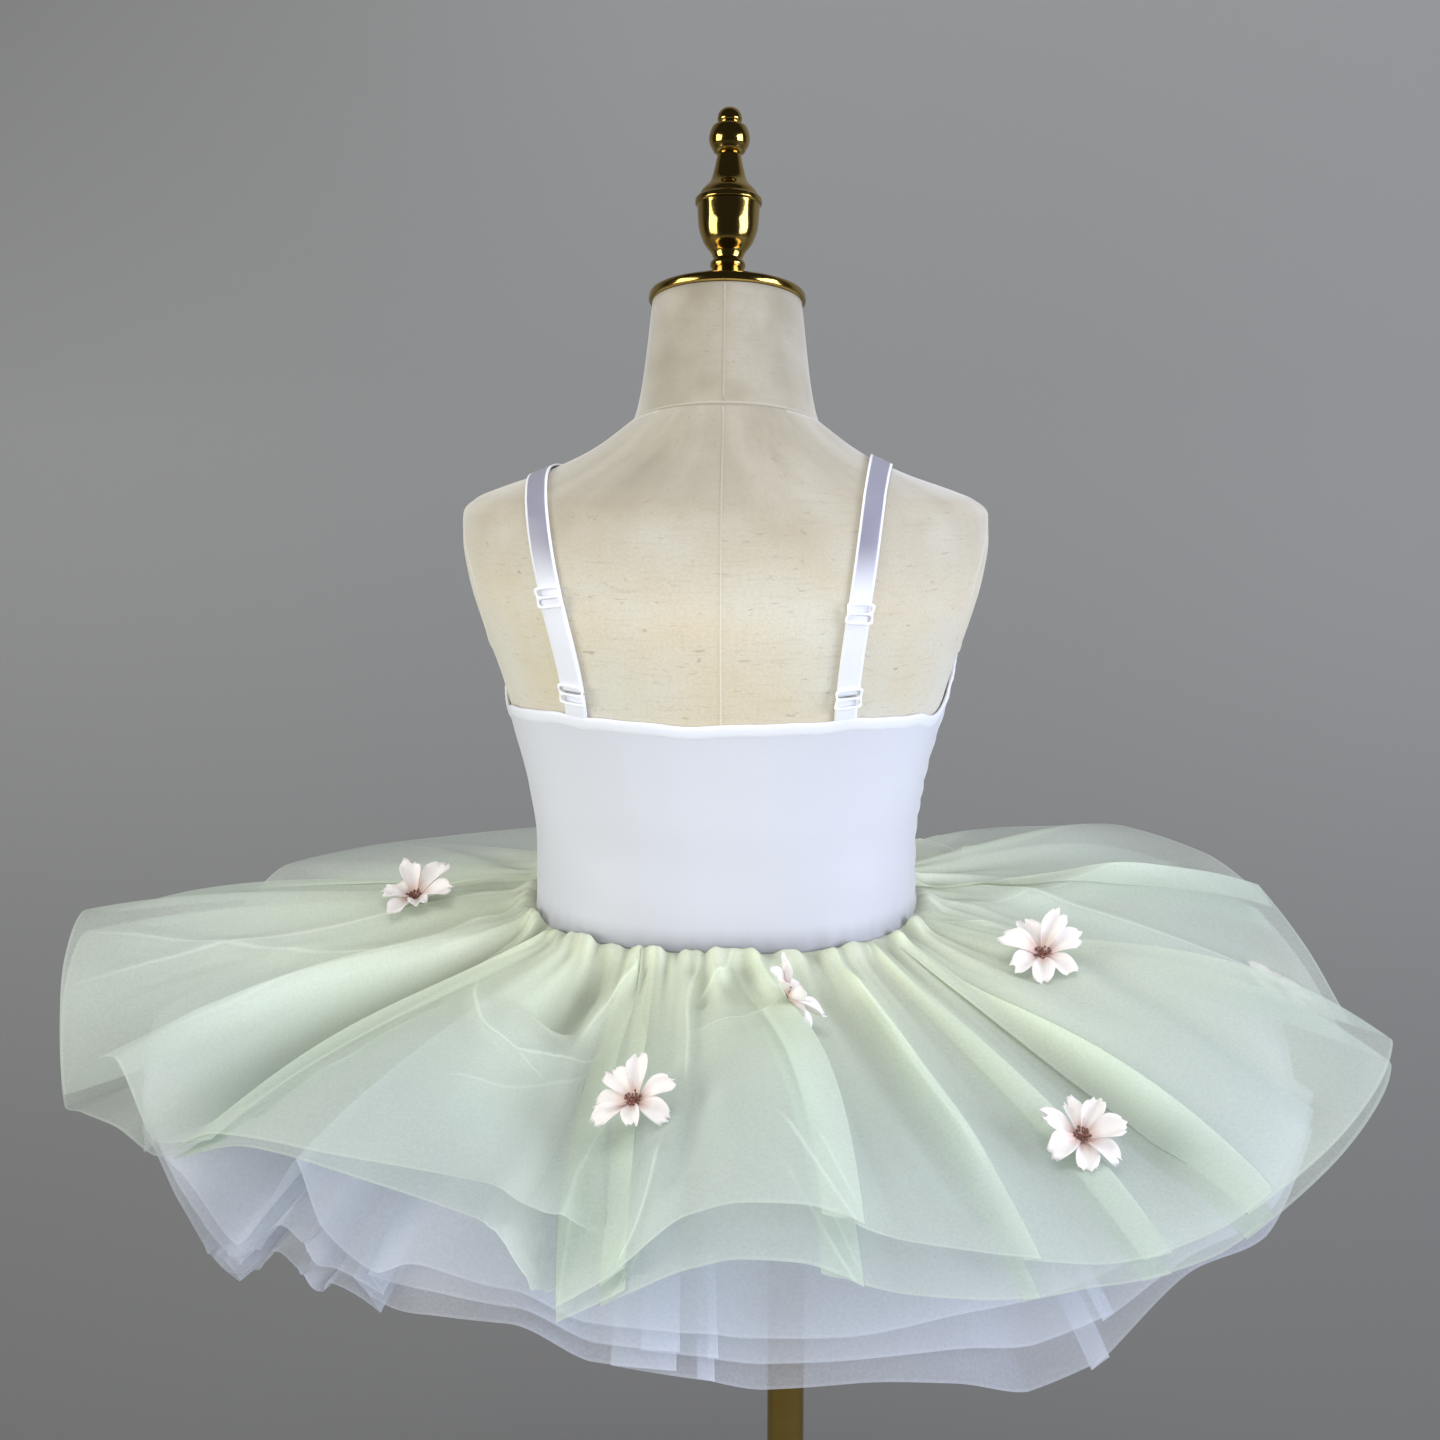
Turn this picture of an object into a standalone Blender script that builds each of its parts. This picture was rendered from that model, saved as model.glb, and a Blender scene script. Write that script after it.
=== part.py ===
"""Child's ballet tutu on a limbless linen dress form with a brass stand.

Frame: metres, +Z up, origin on the floor under the pole. The wearer's front faces +Y, so the
garment's back faces -Y. Angles run round the body from the centre back (-Y), + toward +X.
Tables are in millimetres and degrees; heights in them are measured from the waist seam.
"""

import math
from collections import namedtuple

import bmesh
import bpy
import numpy as np
from mathutils import Matrix, Vector
from mathutils.bvhtree import BVHTree

MM = 0.001

# ---- driving dimensions -------------------------------------------------------------------
WAIST_HEIGHT = 0.625          # waist seam above the floor
BODY_X = -0.032               # middle of the body, beside the pole
GAP = 0.0003                  # between pieces that meet
SEAM_DIP = 0.004              # the waist seam is this much lower at the back than at the front
GARMENT_TURN = -4.5           # degrees that the bodice is turned on the form

FORM_COLUMNS = 32
CLOTH_CLEARANCE = 0.0010      # air between the form and the bodice
BODICE_WALL = 0.0012
BINDING_WIDTH = 0.0062
BINDING_WALL = 0.0011

TULLE_WALL = 0.0012
TULLE_AIR = 0.0014            # between two layers' walls
LAYER_STEP = 0.0022           # height between two layers in the waist seam
GATHER_DEPTH = 0.0013         # half the height of a waist gather

STRAP_WIDTH = 0.0105
STRAP_WALL = 0.0011
STRAP_LIFT = 0.0009
STRAP_TURN = math.radians(7)  # a strap's solid has a row wherever it has turned this far
STRAP_SPAN = 0.025            # or run this far
SLIDER_SIZE = (0.0142, 0.0105)
SLIDER_WALL = 0.0016
SLIDER_BAR = 0.0016
SLIDER_CLEARANCE = 0.0007

NECK_TILT = 23.0              # the neck's rings lean forward by this much
POLE_RADIUS = 0.0098

PETALS = 7
FLOWER_RADIUS = 0.0210
FLOWER_CENTRE = 0.0045        # radius of the flat middle
PETAL_NOTCH = 0.66            # radius between two petals, as a share of the flower's
PETAL_CUP = (0.0075, 0.0040)  # rise of a petal's tip, and of the notch between two
FLOWER_WALL = 0.0011
FLOWER_CLEARANCE = 0.0020

# ---- colours (linear) ---------------------------------------------------------------------
Finish = namedtuple("Finish", "colour roughness metallic")
FINISHES = {
    "linen": Finish((0.665, 0.610, 0.500), 0.85, 0.0),
    "satin_white": Finish((0.780, 0.800, 0.860), 0.38, 0.0),
    "elastic_white": Finish((0.790, 0.800, 0.840), 0.45, 0.0),
    "tulle_green": Finish((0.500, 0.580, 0.470), 0.70, 0.0),
    "tulle_white": Finish((0.560, 0.590, 0.680), 0.70, 0.0),
    "petal_white": Finish((0.820, 0.770, 0.750), 0.60, 0.0),
    "plastic_white": Finish((0.800, 0.800, 0.820), 0.30, 0.0),
    "brass": Finish((0.560, 0.400, 0.130), 0.18, 1.0),
}

# ---- dress form ---------------------------------------------------------------------------
Section = namedtuple("Section", "height half_width half_depth forward tilt squareness")
TORSO = (
    Section(-150, 98, 85, 4, 0, 2.3),
    Section(-143, 104, 90, 4, 0, 2.3),
    Section(-100, 105, 90, 4, 0, 2.3),
    Section(-50, 101, 86, 6, 0, 2.3),
    Section(-15, 96.5, 81, 8, 0, 2.3),
    Section(12, 94.8, 78, 8, 0, 2.3),
    Section(36, 94.9, 76.5, 8, 0, 2.3),
    Section(62, 98, 76, 6, 0, 2.3),
    Section(92, 104.5, 77.5, 3, 0, 2.35),
    Section(122, 112, 80, 0, 0, 2.4),
    Section(148, 120.5, 81, -2, 1, 2.45),
    Section(172, 127, 78.5, -4, 2, 2.5),
    Section(190, 129.4, 74.5, -6, 4, 2.5),
    Section(203, 128.6, 69, -7, 6, 2.45),
    Section(209.8, 122.5, 64.5, -7, 8, 2.4),
    Section(215.2, 109, 60, -6, 10, 2.3),
    Section(221, 90, 55.5, -4, 14, 2.2),
    Section(231, 67, 50.5, -2, 18, 2.1),
    Section(243, 48.5, 46.5, 2, NECK_TILT, 2.0),
)
NECK = (
    Section(243.6, 46.4, 46.4, 2.2, NECK_TILT, 2.0),
    Section(252, 43.8, 43.8, 4.5, NECK_TILT, 2.0),
    Section(266, 41.2, 41.2, 8.0, NECK_TILT, 2.0),
    Section(284, 39.0, 39.0, 12.0, NECK_TILT, 2.0),
    Section(303, 36.9, 36.9, 16.0, NECK_TILT, 2.0),
)
Turned = namedtuple("Turned", "radius height")
CAP_PROFILE = (
    Turned(0, 0), Turned(37.4, 0), Turned(38.5, 0.8), Turned(38.8, 2.6), Turned(38.0, 4.4),
    Turned(35.0, 5.9), Turned(27.0, 8.3), Turned(18.0, 10.2), Turned(12.0, 11.2), Turned(0, 11.2),
)
FINIAL_PROFILE = (
    Turned(0, 0), Turned(12.9, 0), Turned(12.6, 1.3), Turned(9.6, 3.6), Turned(7.3, 5.6),
    Turned(8.3, 7.1), Turned(8.7, 8.6), Turned(7.4, 11.1), Turned(8.2, 13.9), Turned(12.3, 19.9),
    Turned(14.8, 27.8), Turned(15.5, 38.1), Turned(16.5, 40), Turned(16.4, 41.9),
    Turned(13.9, 45.4), Turned(9.0, 51.6), Turned(7.3, 57.8), Turned(5.7, 65.9), Turned(8.6, 68.1),
    Turned(10.2, 73.6), Turned(8.8, 79), Turned(5.5, 81.5), Turned(5.9, 85), Turned(3.8, 88.7),
    Turned(0, 89.8),
)
BASE_PROFILE = (
    Turned(0, 0), Turned(148.5, 0), Turned(150, 1.5), Turned(150, 8), Turned(147, 11),
    Turned(142, 12), Turned(23, 12), Turned(22, 13), Turned(22, 24), Turned(20, 26),
    Turned(12, 26.0), Turned(0, 26.0),
)
COLLAR_PROFILE = (
    Turned(0, 0), Turned(17, 0), Turned(19, 2), Turned(19, 8), Turned(30, 11), Turned(30, 14),
    Turned(0, 14),
)

# ---- bodice: height of the top edge round the body ------------------------------------------
EdgePoint = namedtuple("EdgePoint", "angle height")
TOP_EDGE = (
    EdgePoint(0, 112), EdgePoint(35, 114), EdgePoint(58, 111.5), EdgePoint(76, 107.5),
    EdgePoint(88, 114), EdgePoint(97, 128), EdgePoint(108, 143), EdgePoint(122, 156),
    EdgePoint(140, 164), EdgePoint(158, 156), EdgePoint(180, 150),
)
BODICE_RINGS = 6
BODICE_COLUMNS = 18

# ---- straps: side = -1 wearer's left, +1 wearer's right ---------------------------------------
# ---- peak: degrees from straight up where it is farthest out    bow: how soon it leaves that line
Strap = namedtuple("Strap", "name side back_x shoulder_x front_x upper_slider lower_slider peak bow")
STRAPS = (
    Strap("left", -1, 68.8, 89.5, 55.0, 0.415, 0.079, -22.0, 2.5),
    Strap("right", 1, 58.8, 76.0, 69.0, 0.36, 0.075, 0.0, 2.3),
)
STRAP_STEPS = 30
STRAP_BACK = -125.0           # degrees from straight up where a strap meets the bodice, behind
STRAP_FRONT = 95.0            # and in front
STRAP_MARGIN = 1.8            # its ends above the top edge (mm)

# ---- skirt: a row for each fold line, going round from the wearer's left side -----------------
# waist_deg, hem_deg: where the fold line leaves the waist seam and meets the hem
# reach: hem's distance from the middle of the waist     drop: hem below the waist seam
# arch: how far it stands above a straight line, two thirds of the way out
# crease: 0 rounded .. 1 sharp
# under: how much lower the second layer's hem hangs
Fold = namedtuple("Fold", "waist_deg hem_deg reach drop arch crease under")
GREEN_FOLDS = (
    Fold(-99, -91, 337, 14, 6, 0.0, 12),
    Fold(-94, -83, 338, 28, 0, 0.3, 12),
    Fold(-90, -77, 338, 48, -2, 0.0, 10),
    Fold(-86, -69, 339, 66, -4, 0.6, 6),
    Fold(-83, -62, 338, 38, 2, 0.2, 22),
    Fold(-78, -54, 336, 18, 8, 0.2, 34),
    Fold(-70, -49, 332, 50, -8, 0.5, 7),
    Fold(-63, -46, 332, 48, 4, 0.9, 7),
    Fold(-57, -40, 333, 31, 12, 0.0, 8),
    Fold(-49, -32, 333, 25, 12, 0.0, 8),
    Fold(-41, -23, 331, 25, 8, 0.0, 10),
    Fold(-33, -15.5, 330, 31, -10, 0.0, 12),
    Fold(-26, -13, 326, 44, -14, 0.5, 16),
    Fold(-23, -10.8, 324, 81, 14, 1.0, 7),
    Fold(-16, -5.5, 326, 60, 14, 0.0, 10),
    Fold(-9, -0.8, 329, 34, 8, 0.0, 24),
    Fold(-2, 3.2, 330, 28, 14, 0.0, 25),
    Fold(3, 7.5, 329, 30, 24, 0.0, 26),
    Fold(8, 11.9, 329, 40, 27, 0.9, 28),
    Fold(14, 14.5, 327, 49, 2, 0.4, 24),
    Fold(23, 20, 326, 58, 6, 0.0, 22),
    Fold(31, 26, 326, 67, 14, 0.4, 18),
    Fold(39, 32, 325, 77, 0, 0.2, 10),
    Fold(48, 39, 323, 82, 14, 0.8, 10),
    Fold(54, 44, 328, 76, -4, 0.3, 12),
    Fold(61, 50, 330, 68, 14, 0.8, 12),
    Fold(68, 58, 338, 56, 8, 0.0, 10),
    Fold(76, 68, 339, 48, 16, 0.3, 10),
    Fold(81, 76, 338, 46, 24, 0.5, 12),
    Fold(88, 86, 334, 62, 6, 0.0, 12),
    Fold(96, 97, 332, 78, 0, 0.4, 12),
    Fold(104, 108, 331, 56, 4, 0.0, 12),
    Fold(111, 117, 331, 36, 10, 0.2, 14),
    Fold(118, 126, 332, 30, -4, 0.0, 14),
    Fold(126, 136, 332, 28, 6, 0.0, 14),
    Fold(135, 146, 331, 38, -6, 0.0, 14),
    Fold(144, 154, 330, 47, 2, 0.3, 16),
    Fold(156, 164, 327, 82, -2, 0.2, 12),
    Fold(167, 174, 331, 48, 4, 0.3, 16),
    Fold(178, 183, 327, 80, -2, 0.0, 12),
    Fold(189, 193, 331, 48, 4, 0.3, 16),
    Fold(199, 202, 329, 50, 2, 0.0, 16),
    Fold(209, 212, 330, 49, -4, 0.2, 12),
    Fold(219, 222, 334, 47, 4, 0.3, 16),
    Fold(229, 232, 335, 46, 2, 0.0, 14),
    Fold(238, 241, 335, 64, -4, 0.0, 12),
    Fold(246, 250, 336, 38, 6, 0.3, 14),
    Fold(254, 260, 337, 30, 2, 0.0, 12),
)
WHITE_FOLDS = (
    Fold(-96, -92, 300, 92, 10, 0.0, 22),
    Fold(-86, -78, 300, 118, 4, 0.3, 22),
    Fold(-76, -64, 304, 84, 12, 0.0, 20),
    Fold(-66, -50, 318, 74, 10, 0.3, 14),
    Fold(-59, -43, 311, 100, 8, 1.0, 16),
    Fold(-52, -35, 320, 54, 6, 0.4, 14),
    Fold(-44, -28, 303, 108, 8, 1.0, 18),
    Fold(-34, -22.5, 310, 88, 10, 0.0, 16),
    Fold(-25, -16, 304, 101, 6, 0.0, 16),
    Fold(-16, -9, 294, 121, 6, 0.4, 18),
    Fold(-8, -1, 294, 121, 6, 0.2, 20),
    Fold(2, 5, 287, 133, 6, 0.3, 24),
    Fold(12, 13, 288, 132, 8, 0.0, 22),
    Fold(23, 22, 288, 138, 4, 0.0, 32),
    Fold(34, 30, 284, 152, 4, 0.5, 44),
    Fold(44, 38, 292, 142, 10, 0.2, 42),
    Fold(54, 46, 306, 106, 8, 0.0, 16),
    Fold(66, 60, 300, 118, 8, 0.3, 22),
    Fold(78, 74, 302, 94, 10, 0.0, 20),
    Fold(91, 89, 296, 122, 4, 0.3, 22),
    Fold(106, 106, 300, 92, 8, 0.0, 20),
    Fold(122, 124, 294, 122, 4, 0.3, 22),
    Fold(138, 141, 300, 96, 8, 0.0, 20),
    Fold(154, 157, 292, 124, 4, 0.3, 22),
    Fold(170, 173, 298, 96, 8, 0.0, 20),
    Fold(186, 189, 292, 126, 4, 0.3, 22),
    Fold(202, 205, 300, 94, 8, 0.0, 20),
    Fold(218, 221, 294, 122, 4, 0.3, 22),
    Fold(234, 237, 300, 92, 8, 0.0, 20),
    Fold(249, 253, 296, 120, 4, 0.3, 22),
)
GREEN_RINGS = (0.0, 0.12, 0.36, 0.68, 1.0)
WHITE_RINGS = (0.0, 0.12, 0.42, 0.72, 1.0)
WIDE_FOLD = 5.5               # a fold wider than this at the hem gets a column in its middle
ARCH_SCALE = 27 / 4           # makes v * v * (1 - v) reach 1, two thirds of the way to the hem
NEAR_SEAM = 0.12              # share of the length over which the layers open from the seam
NEIGHBOUR = 3                 # degrees to each side over which a lower layer looks up
LAYER_CLEARANCE = 0.0045      # kept between the green and the white layers past that

# ---- flowers: place round the body and distance from its middle (mm), turn in their own plane,
# ---- and the lean of their face from the cloth toward a body angle ------------------------------
Flower = namedtuple("Flower", "name angle radius turn lean toward")
FLOWERS = (
    Flower("a", -92, 162, 10, 8, -40),
    Flower("b", -7.4, 249, 40, 24, -8),
    Flower("c", 12, 160, 70, 26, 85),
    Flower("d", 68, 170, 15, 26, 5),
    Flower("e", 39.5, 262, 55, 22, 15),
    Flower("f", -64, 140, 30, 8, -20),
    Flower("g", 102, 300, 20, 6, 60),
    Flower("h", 160, 188, 80, 8, 150),
    Flower("i", 163, 286, 5, 14, 152),
    Flower("j", 182, 228, 35, 16, 170),
    Flower("k", 198, 288, 60, 18, 204),
    Flower("l", 206, 172, 25, 12, 220),
)


def clear_scene():
    """Remove every object so the script starts from nothing."""
    for obj in list(bpy.data.objects):
        bpy.data.objects.remove(obj, do_unlink=True)


def material(name):
    """One Principled material for each finish in the table."""
    if name in bpy.data.materials:
        return bpy.data.materials[name]
    finish = FINISHES[name]
    made = bpy.data.materials.new(name)
    made.use_nodes = True
    shader = made.node_tree.nodes["Principled BSDF"]
    shader.inputs["Base Color"].default_value = (*finish.colour, 1.0)
    shader.inputs["Roughness"].default_value = finish.roughness
    shader.inputs["Metallic"].default_value = finish.metallic
    return made


# ---- tables to smooth curves -----------------------------------------------------------------
def knot_slopes(x, y, crease):
    """Slopes before and after each knot: flat at a rounded top, straight at a sharp crease."""
    rise = np.diff(y) / np.diff(x)
    before = np.concatenate(([rise[0]], rise))
    after = np.concatenate((rise, [rise[-1]]))
    same_way = before * after > 0
    total = np.where(same_way, before + after, 1.0)
    smooth = np.where(same_way, 2.0 * before * after / total, 0.0)
    return smooth + (before - smooth) * crease, smooth + (after - smooth) * crease


def curve(x, y, crease, at):
    """Read a smooth curve through the knots (x, y) at the places in `at`."""
    x, y, at = (np.asarray(values, dtype=float) for values in (x, y, at))
    before, after = knot_slopes(x, y, np.asarray(crease, dtype=float))
    span = np.clip(np.searchsorted(x, at, side="right") - 1, 0, len(x) - 2)
    width = x[span + 1] - x[span]
    t = (at - x[span]) / width
    start = y[span] * (1 + 2 * t) * (1 - t) ** 2 + y[span + 1] * t * t * (3 - 2 * t)
    return start + width * (after[span] * t * (1 - t) ** 2 - before[span + 1] * t * t * (1 - t))


def section_at(sections, field, height):
    """One column of a section table at a height in millimetres."""
    heights = [row.height for row in sections]
    return curve(heights, [getattr(row, field) for row in sections], 0.0, height)


def round_folds(folds, field, places, turn=0.0):
    """One column of a fold table, read round the body; `turn` is what one full turn adds."""
    values = [getattr(row, field) for row in folds]
    crease = [row.crease for row in folds]
    count = len(folds)
    knots = np.arange(-2, count + 3)
    wrapped = [values[k % count] + turn * (k // count) for k in knots]
    sharp = [0.0 if turn else crease[k % count] for k in knots]
    return curve(knots, wrapped, sharp, places)


# ---- the dress form's surface ----------------------------------------------------------------
def power(value, squareness):
    """Rounded-square version of a sine or cosine."""
    return np.sign(value) * np.abs(value) ** (2.0 / squareness)


def form_point(angle, height, lift=0.0, sections=TORSO):
    """Point on the form at a body angle (degrees) and height (mm), moved out by lift (metres)."""
    half_width, half_depth, forward, tilt, squareness = (
        section_at(sections, field, height)
        for field in ("half_width", "half_depth", "forward", "tilt", "squareness")
    )
    side = power(math.sin(math.radians(angle)), squareness)
    back = power(math.cos(math.radians(angle)), squareness)
    outward = Vector((side / half_width, -back / half_depth, 0.0)).normalized()
    lean = math.radians(tilt)
    point = Vector((
        BODY_X + side * half_width * MM,
        (forward - back * half_depth * math.cos(lean)) * MM,
        WAIST_HEIGHT + (height + back * half_depth * math.sin(lean)) * MM,
    ))
    return point + outward * lift


def waist_middle():
    """Middle of the waist, the point that hem angles and reaches are measured from."""
    return Vector((BODY_X, float(section_at(TORSO, "forward", 0.0)) * MM, WAIST_HEIGHT))


# ---- mesh helpers ----------------------------------------------------------------------------
def loft(rows, closed=True):
    """Skin rows of points with a grid; a closed loft joins its last column to its first."""
    rows = [list(row) + list(row[:1]) if closed else list(row) for row in rows]
    bm = bmesh.new()
    bmesh.ops.create_grid(bm, x_segments=len(rows[0]) - 1, y_segments=len(rows) - 1, size=1.0)
    points = [point for row in rows for point in row]
    for vert, point in zip(bm.verts, points, strict=True):
        vert.co = point
    if closed:
        bmesh.ops.remove_doubles(bm, verts=bm.verts, dist=MM / 1000)
    return bm


def cap_ends(bm):
    """Close the open ends of a loft with flat faces."""
    rim = [edge for edge in bm.edges if edge.is_boundary]
    bmesh.ops.holes_fill(bm, edges=rim, sides=0)


def face_away(bm, point):
    """Turn an open sheet's faces so they look away from a point."""
    bmesh.ops.recalc_face_normals(bm, faces=bm.faces)
    looking = sum(f.normal.dot(f.calc_center_median() - point) * f.calc_area() for f in bm.faces)
    if looking < 0:
        bmesh.ops.reverse_faces(bm, faces=bm.faces)


def finish_object(name, bm, finish, smooth_angle=50.0):
    """Make a named, smooth-shaded object with its material from a bmesh."""
    mesh = bpy.data.meshes.new(name)
    bm.to_mesh(mesh)
    bm.free()
    mesh.shade_smooth()
    mesh.set_sharp_from_angle(angle=math.radians(smooth_angle))
    mesh.materials.append(material(finish))
    obj = bpy.data.objects.new(name, mesh)
    bpy.context.scene.collection.objects.link(obj)
    return obj


def solid(name, bm, finish, smooth_angle=50.0):
    """A closed body with its faces out."""
    bmesh.ops.recalc_face_normals(bm, faces=bm.faces)
    return finish_object(name, bm, finish, smooth_angle)


def sheet(name, bm, finish, thickness, offset, away_from):
    """An open sheet given a wall: offset -1 grows it inward, +1 outward."""
    face_away(bm, away_from)
    obj = finish_object(name, bm, finish)
    wall = obj.modifiers.new("wall", "SOLIDIFY")
    wall.thickness = thickness
    wall.offset = offset
    return obj


def turned(name, profile, finish, segments, matrix=None):
    """Spin a profile round its own Z axis, then place it."""
    bm = bmesh.new()
    verts = [bm.verts.new((row.radius * MM, 0.0, row.height * MM)) for row in profile]
    edges = [bm.edges.new(pair) for pair in zip(verts, verts[1:])]
    bmesh.ops.spin(
        bm, geom=verts + edges, cent=(0, 0, 0), axis=(0, 0, 1), angle=math.tau,
        steps=segments, use_merge=True, use_normal_flip=False, use_duplicate=False,
    )
    bmesh.ops.remove_doubles(bm, verts=bm.verts, dist=MM / 1000)
    bmesh.ops.dissolve_degenerate(bm, edges=bm.edges, dist=MM / 1000)
    obj = solid(name, bm, finish)
    obj.matrix_world = matrix or Matrix.Identity(4)
    return obj


def surface_tree(obj):
    """Search tree of an object's evaluated mesh, in world space."""
    graph = bpy.context.evaluated_depsgraph_get()
    evaluated = obj.evaluated_get(graph)
    mesh = evaluated.to_mesh()
    points = [obj.matrix_world @ vert.co for vert in mesh.vertices]
    faces = [tuple(face.vertices) for face in mesh.polygons]
    tree = BVHTree.FromPolygons(points, faces)
    evaluated.to_mesh_clear()
    return tree


# ---- dress form and stand ----------------------------------------------------------------------
def form_solid(name, sections, steps):
    """Loft one part of the dress form through its sections."""
    heights = []
    for lower, upper in zip(sections, sections[1:]):
        heights += [lower.height + (upper.height - lower.height) * k / steps for k in range(steps)]
    heights.append(sections[-1].height)
    angles = [360.0 * k / FORM_COLUMNS for k in range(FORM_COLUMNS)]
    rows = [[form_point(a, h, 0.0, sections) for a in angles] for h in heights]
    bm = loft(rows)
    cap_ends(bm)
    return solid(name, bm, "linen", smooth_angle=60.0)


def neck_top_matrix(along):
    """Frame on the neck's tilted top, moved out along its axis."""
    top = NECK[-1]
    place = Vector((BODY_X, top.forward * MM, WAIST_HEIGHT + top.height * MM))
    tilt = Matrix.Rotation(-math.radians(NECK_TILT), 4, "X")
    return Matrix.Translation(place) @ tilt @ Matrix.Translation((0, 0, along))


def build_form():
    """Torso, neck, brass cap and finial."""
    torso = form_solid("form_torso", TORSO, 1)
    form_solid("form_neck", NECK, 1)
    turned("form_cap", CAP_PROFILE, "brass", 28, neck_top_matrix(GAP))
    cap_height = CAP_PROFILE[-1].height * MM
    turned("finial", FINIAL_PROFILE, "brass", 14, neck_top_matrix(cap_height + 2 * GAP))
    return torso


def build_stand():
    """Base disc on the floor, pole and the collar under the form."""
    base_top = BASE_PROFILE[-1].height * MM
    form_bottom = WAIST_HEIGHT + TORSO[0].height * MM
    collar_height = COLLAR_PROFILE[-1].height * MM
    collar_bottom = form_bottom - collar_height - GAP
    turned("stand_base", BASE_PROFILE, "brass", 40)
    turned("stand_collar", COLLAR_PROFILE, "brass", 18, Matrix.Translation((0, 0, collar_bottom)))
    bottom = base_top + GAP
    length = collar_bottom - GAP - bottom
    bm = bmesh.new()
    bmesh.ops.create_cone(
        bm, cap_ends=True, segments=18, radius1=POLE_RADIUS, radius2=POLE_RADIUS, depth=length
    )
    pole = solid("stand_pole", bm, "brass")
    pole.location = (0, 0, bottom + length / 2)


# ---- bodice ------------------------------------------------------------------------------------
def edge_height(angle):
    """Height of the bodice's top edge (mm); its two sides are alike, but it is worn turned."""
    angle = abs((angle - GARMENT_TURN + 180.0) % 360.0 - 180.0)
    return float(curve([p.angle for p in TOP_EDGE], [p.height for p in TOP_EDGE], 0.0, angle))


def seam_drop(angle):
    """How far the waist seam lies below its front height, in metres."""
    return SEAM_DIP * (0.5 + 0.5 * math.cos(math.radians(angle)))


def bodice_panel(name, first, last):
    """One bodice panel between two body angles, from the waist seam to the top edge."""
    angles = np.linspace(first, last, BODICE_COLUMNS + 1)
    rows = []
    for ring in range(BODICE_RINGS + 1):
        row = []
        for angle in angles:
            low = -seam_drop(angle) / MM
            height = low + (edge_height(angle) - low) * ring / BODICE_RINGS
            row.append(form_point(angle, height, CLOTH_CLEARANCE))
        rows.append(row)
    inside = Vector((BODY_X, 0, WAIST_HEIGHT + 0.05))
    return sheet(name, loft(rows, closed=False), "satin_white", BODICE_WALL, 1.0, inside)


def binding_band(name, first, last, columns):
    """Elastic binding on the outside of the bodice's top edge."""
    angles = np.linspace(first, last, columns + 1)
    lift = CLOTH_CLEARANCE + BODICE_WALL + 2 * GAP
    width = BINDING_WIDTH / MM
    rows = [
        [form_point(angle, edge_height(angle) - below, lift) for angle in angles]
        for below in (width, 0.0)
    ]
    inside = Vector((BODY_X, 0, WAIST_HEIGHT + 0.10))
    return sheet(name, loft(rows, closed=False), "elastic_white", BINDING_WALL, 1.0, inside)


def build_bodice():
    """Back and front panels that meet at the side seams, and the binding on their top edge."""
    seam = math.degrees(GAP / TORSO[5].half_width / MM)
    right, left = 90 + GARMENT_TURN, 270 + GARMENT_TURN
    bodice_panel("bodice_back", left - 360 + seam, right - seam)
    bodice_panel("bodice_front", right + seam, left - seam)
    binding_band("binding_back", left - 360 + seam, right - seam, BODICE_COLUMNS)
    binding_band("binding_front", right + seam, left - seam, BODICE_COLUMNS)


# ---- straps ------------------------------------------------------------------------------------
def strap_ray(tree, x, angle):
    """Cast on the form from outside, in the plane across the shoulder at x."""
    middle = Vector((BODY_X + x, 0.0, WAIST_HEIGHT + 0.140))
    outward = Vector((0.0, math.sin(angle), math.cos(angle)))
    place, normal, _, _ = tree.ray_cast(middle + outward * 0.5, -outward)
    return place, normal


def strap_rows(tree, strap):
    """Rows of three points across the strap, from the bodice's back edge to its front edge."""
    rows = []
    for angle in np.linspace(STRAP_BACK, STRAP_FRONT, 4 * STRAP_STEPS):
        behind = angle < strap.peak
        end_x, end = (strap.back_x, STRAP_BACK) if behind else (strap.front_x, STRAP_FRONT)
        share = (angle - strap.peak) / (end - strap.peak)
        over = max(0.0, math.cos(math.pi / 2 * share))
        x = end_x + (strap.shoulder_x - end_x) * over ** strap.bow
        angle = math.radians(angle)
        row = []
        for across in (-0.5, 0.0, 0.5):
            place, normal = strap_ray(tree, strap.side * (x * MM + across * STRAP_WIDTH), angle)
            row.append(place + normal * STRAP_LIFT)
        if strap.side > 0:
            row.reverse()
        rows.append(row)
    clear = []
    for row in rows:
        mid = row[1]
        body_angle = math.degrees(math.atan2(mid.x - BODY_X, -(mid.y)))
        if (mid.z - WAIST_HEIGHT) / MM > edge_height(body_angle) + STRAP_MARGIN:
            clear.append(row)
    return clear


def sparse(rows):
    """Keep the rows where the strip has turned or run on far enough since the last one kept."""
    kept = [rows[0]]
    way = None
    for before, row in zip(rows, rows[1:]):
        run = row[1] - before[1]
        way = way or run
        if way.angle(run) > STRAP_TURN or (row[1] - kept[-1][1]).length > STRAP_SPAN:
            kept.append(before if before is not kept[-1] else row)
            way = run
    return kept + [rows[-1]]


def ribbon(name, rows, inside):
    """A flat elastic strip through its rows."""
    return sheet(name, loft(rows, closed=False), "elastic_white", STRAP_WALL, 1.0, inside)


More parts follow.
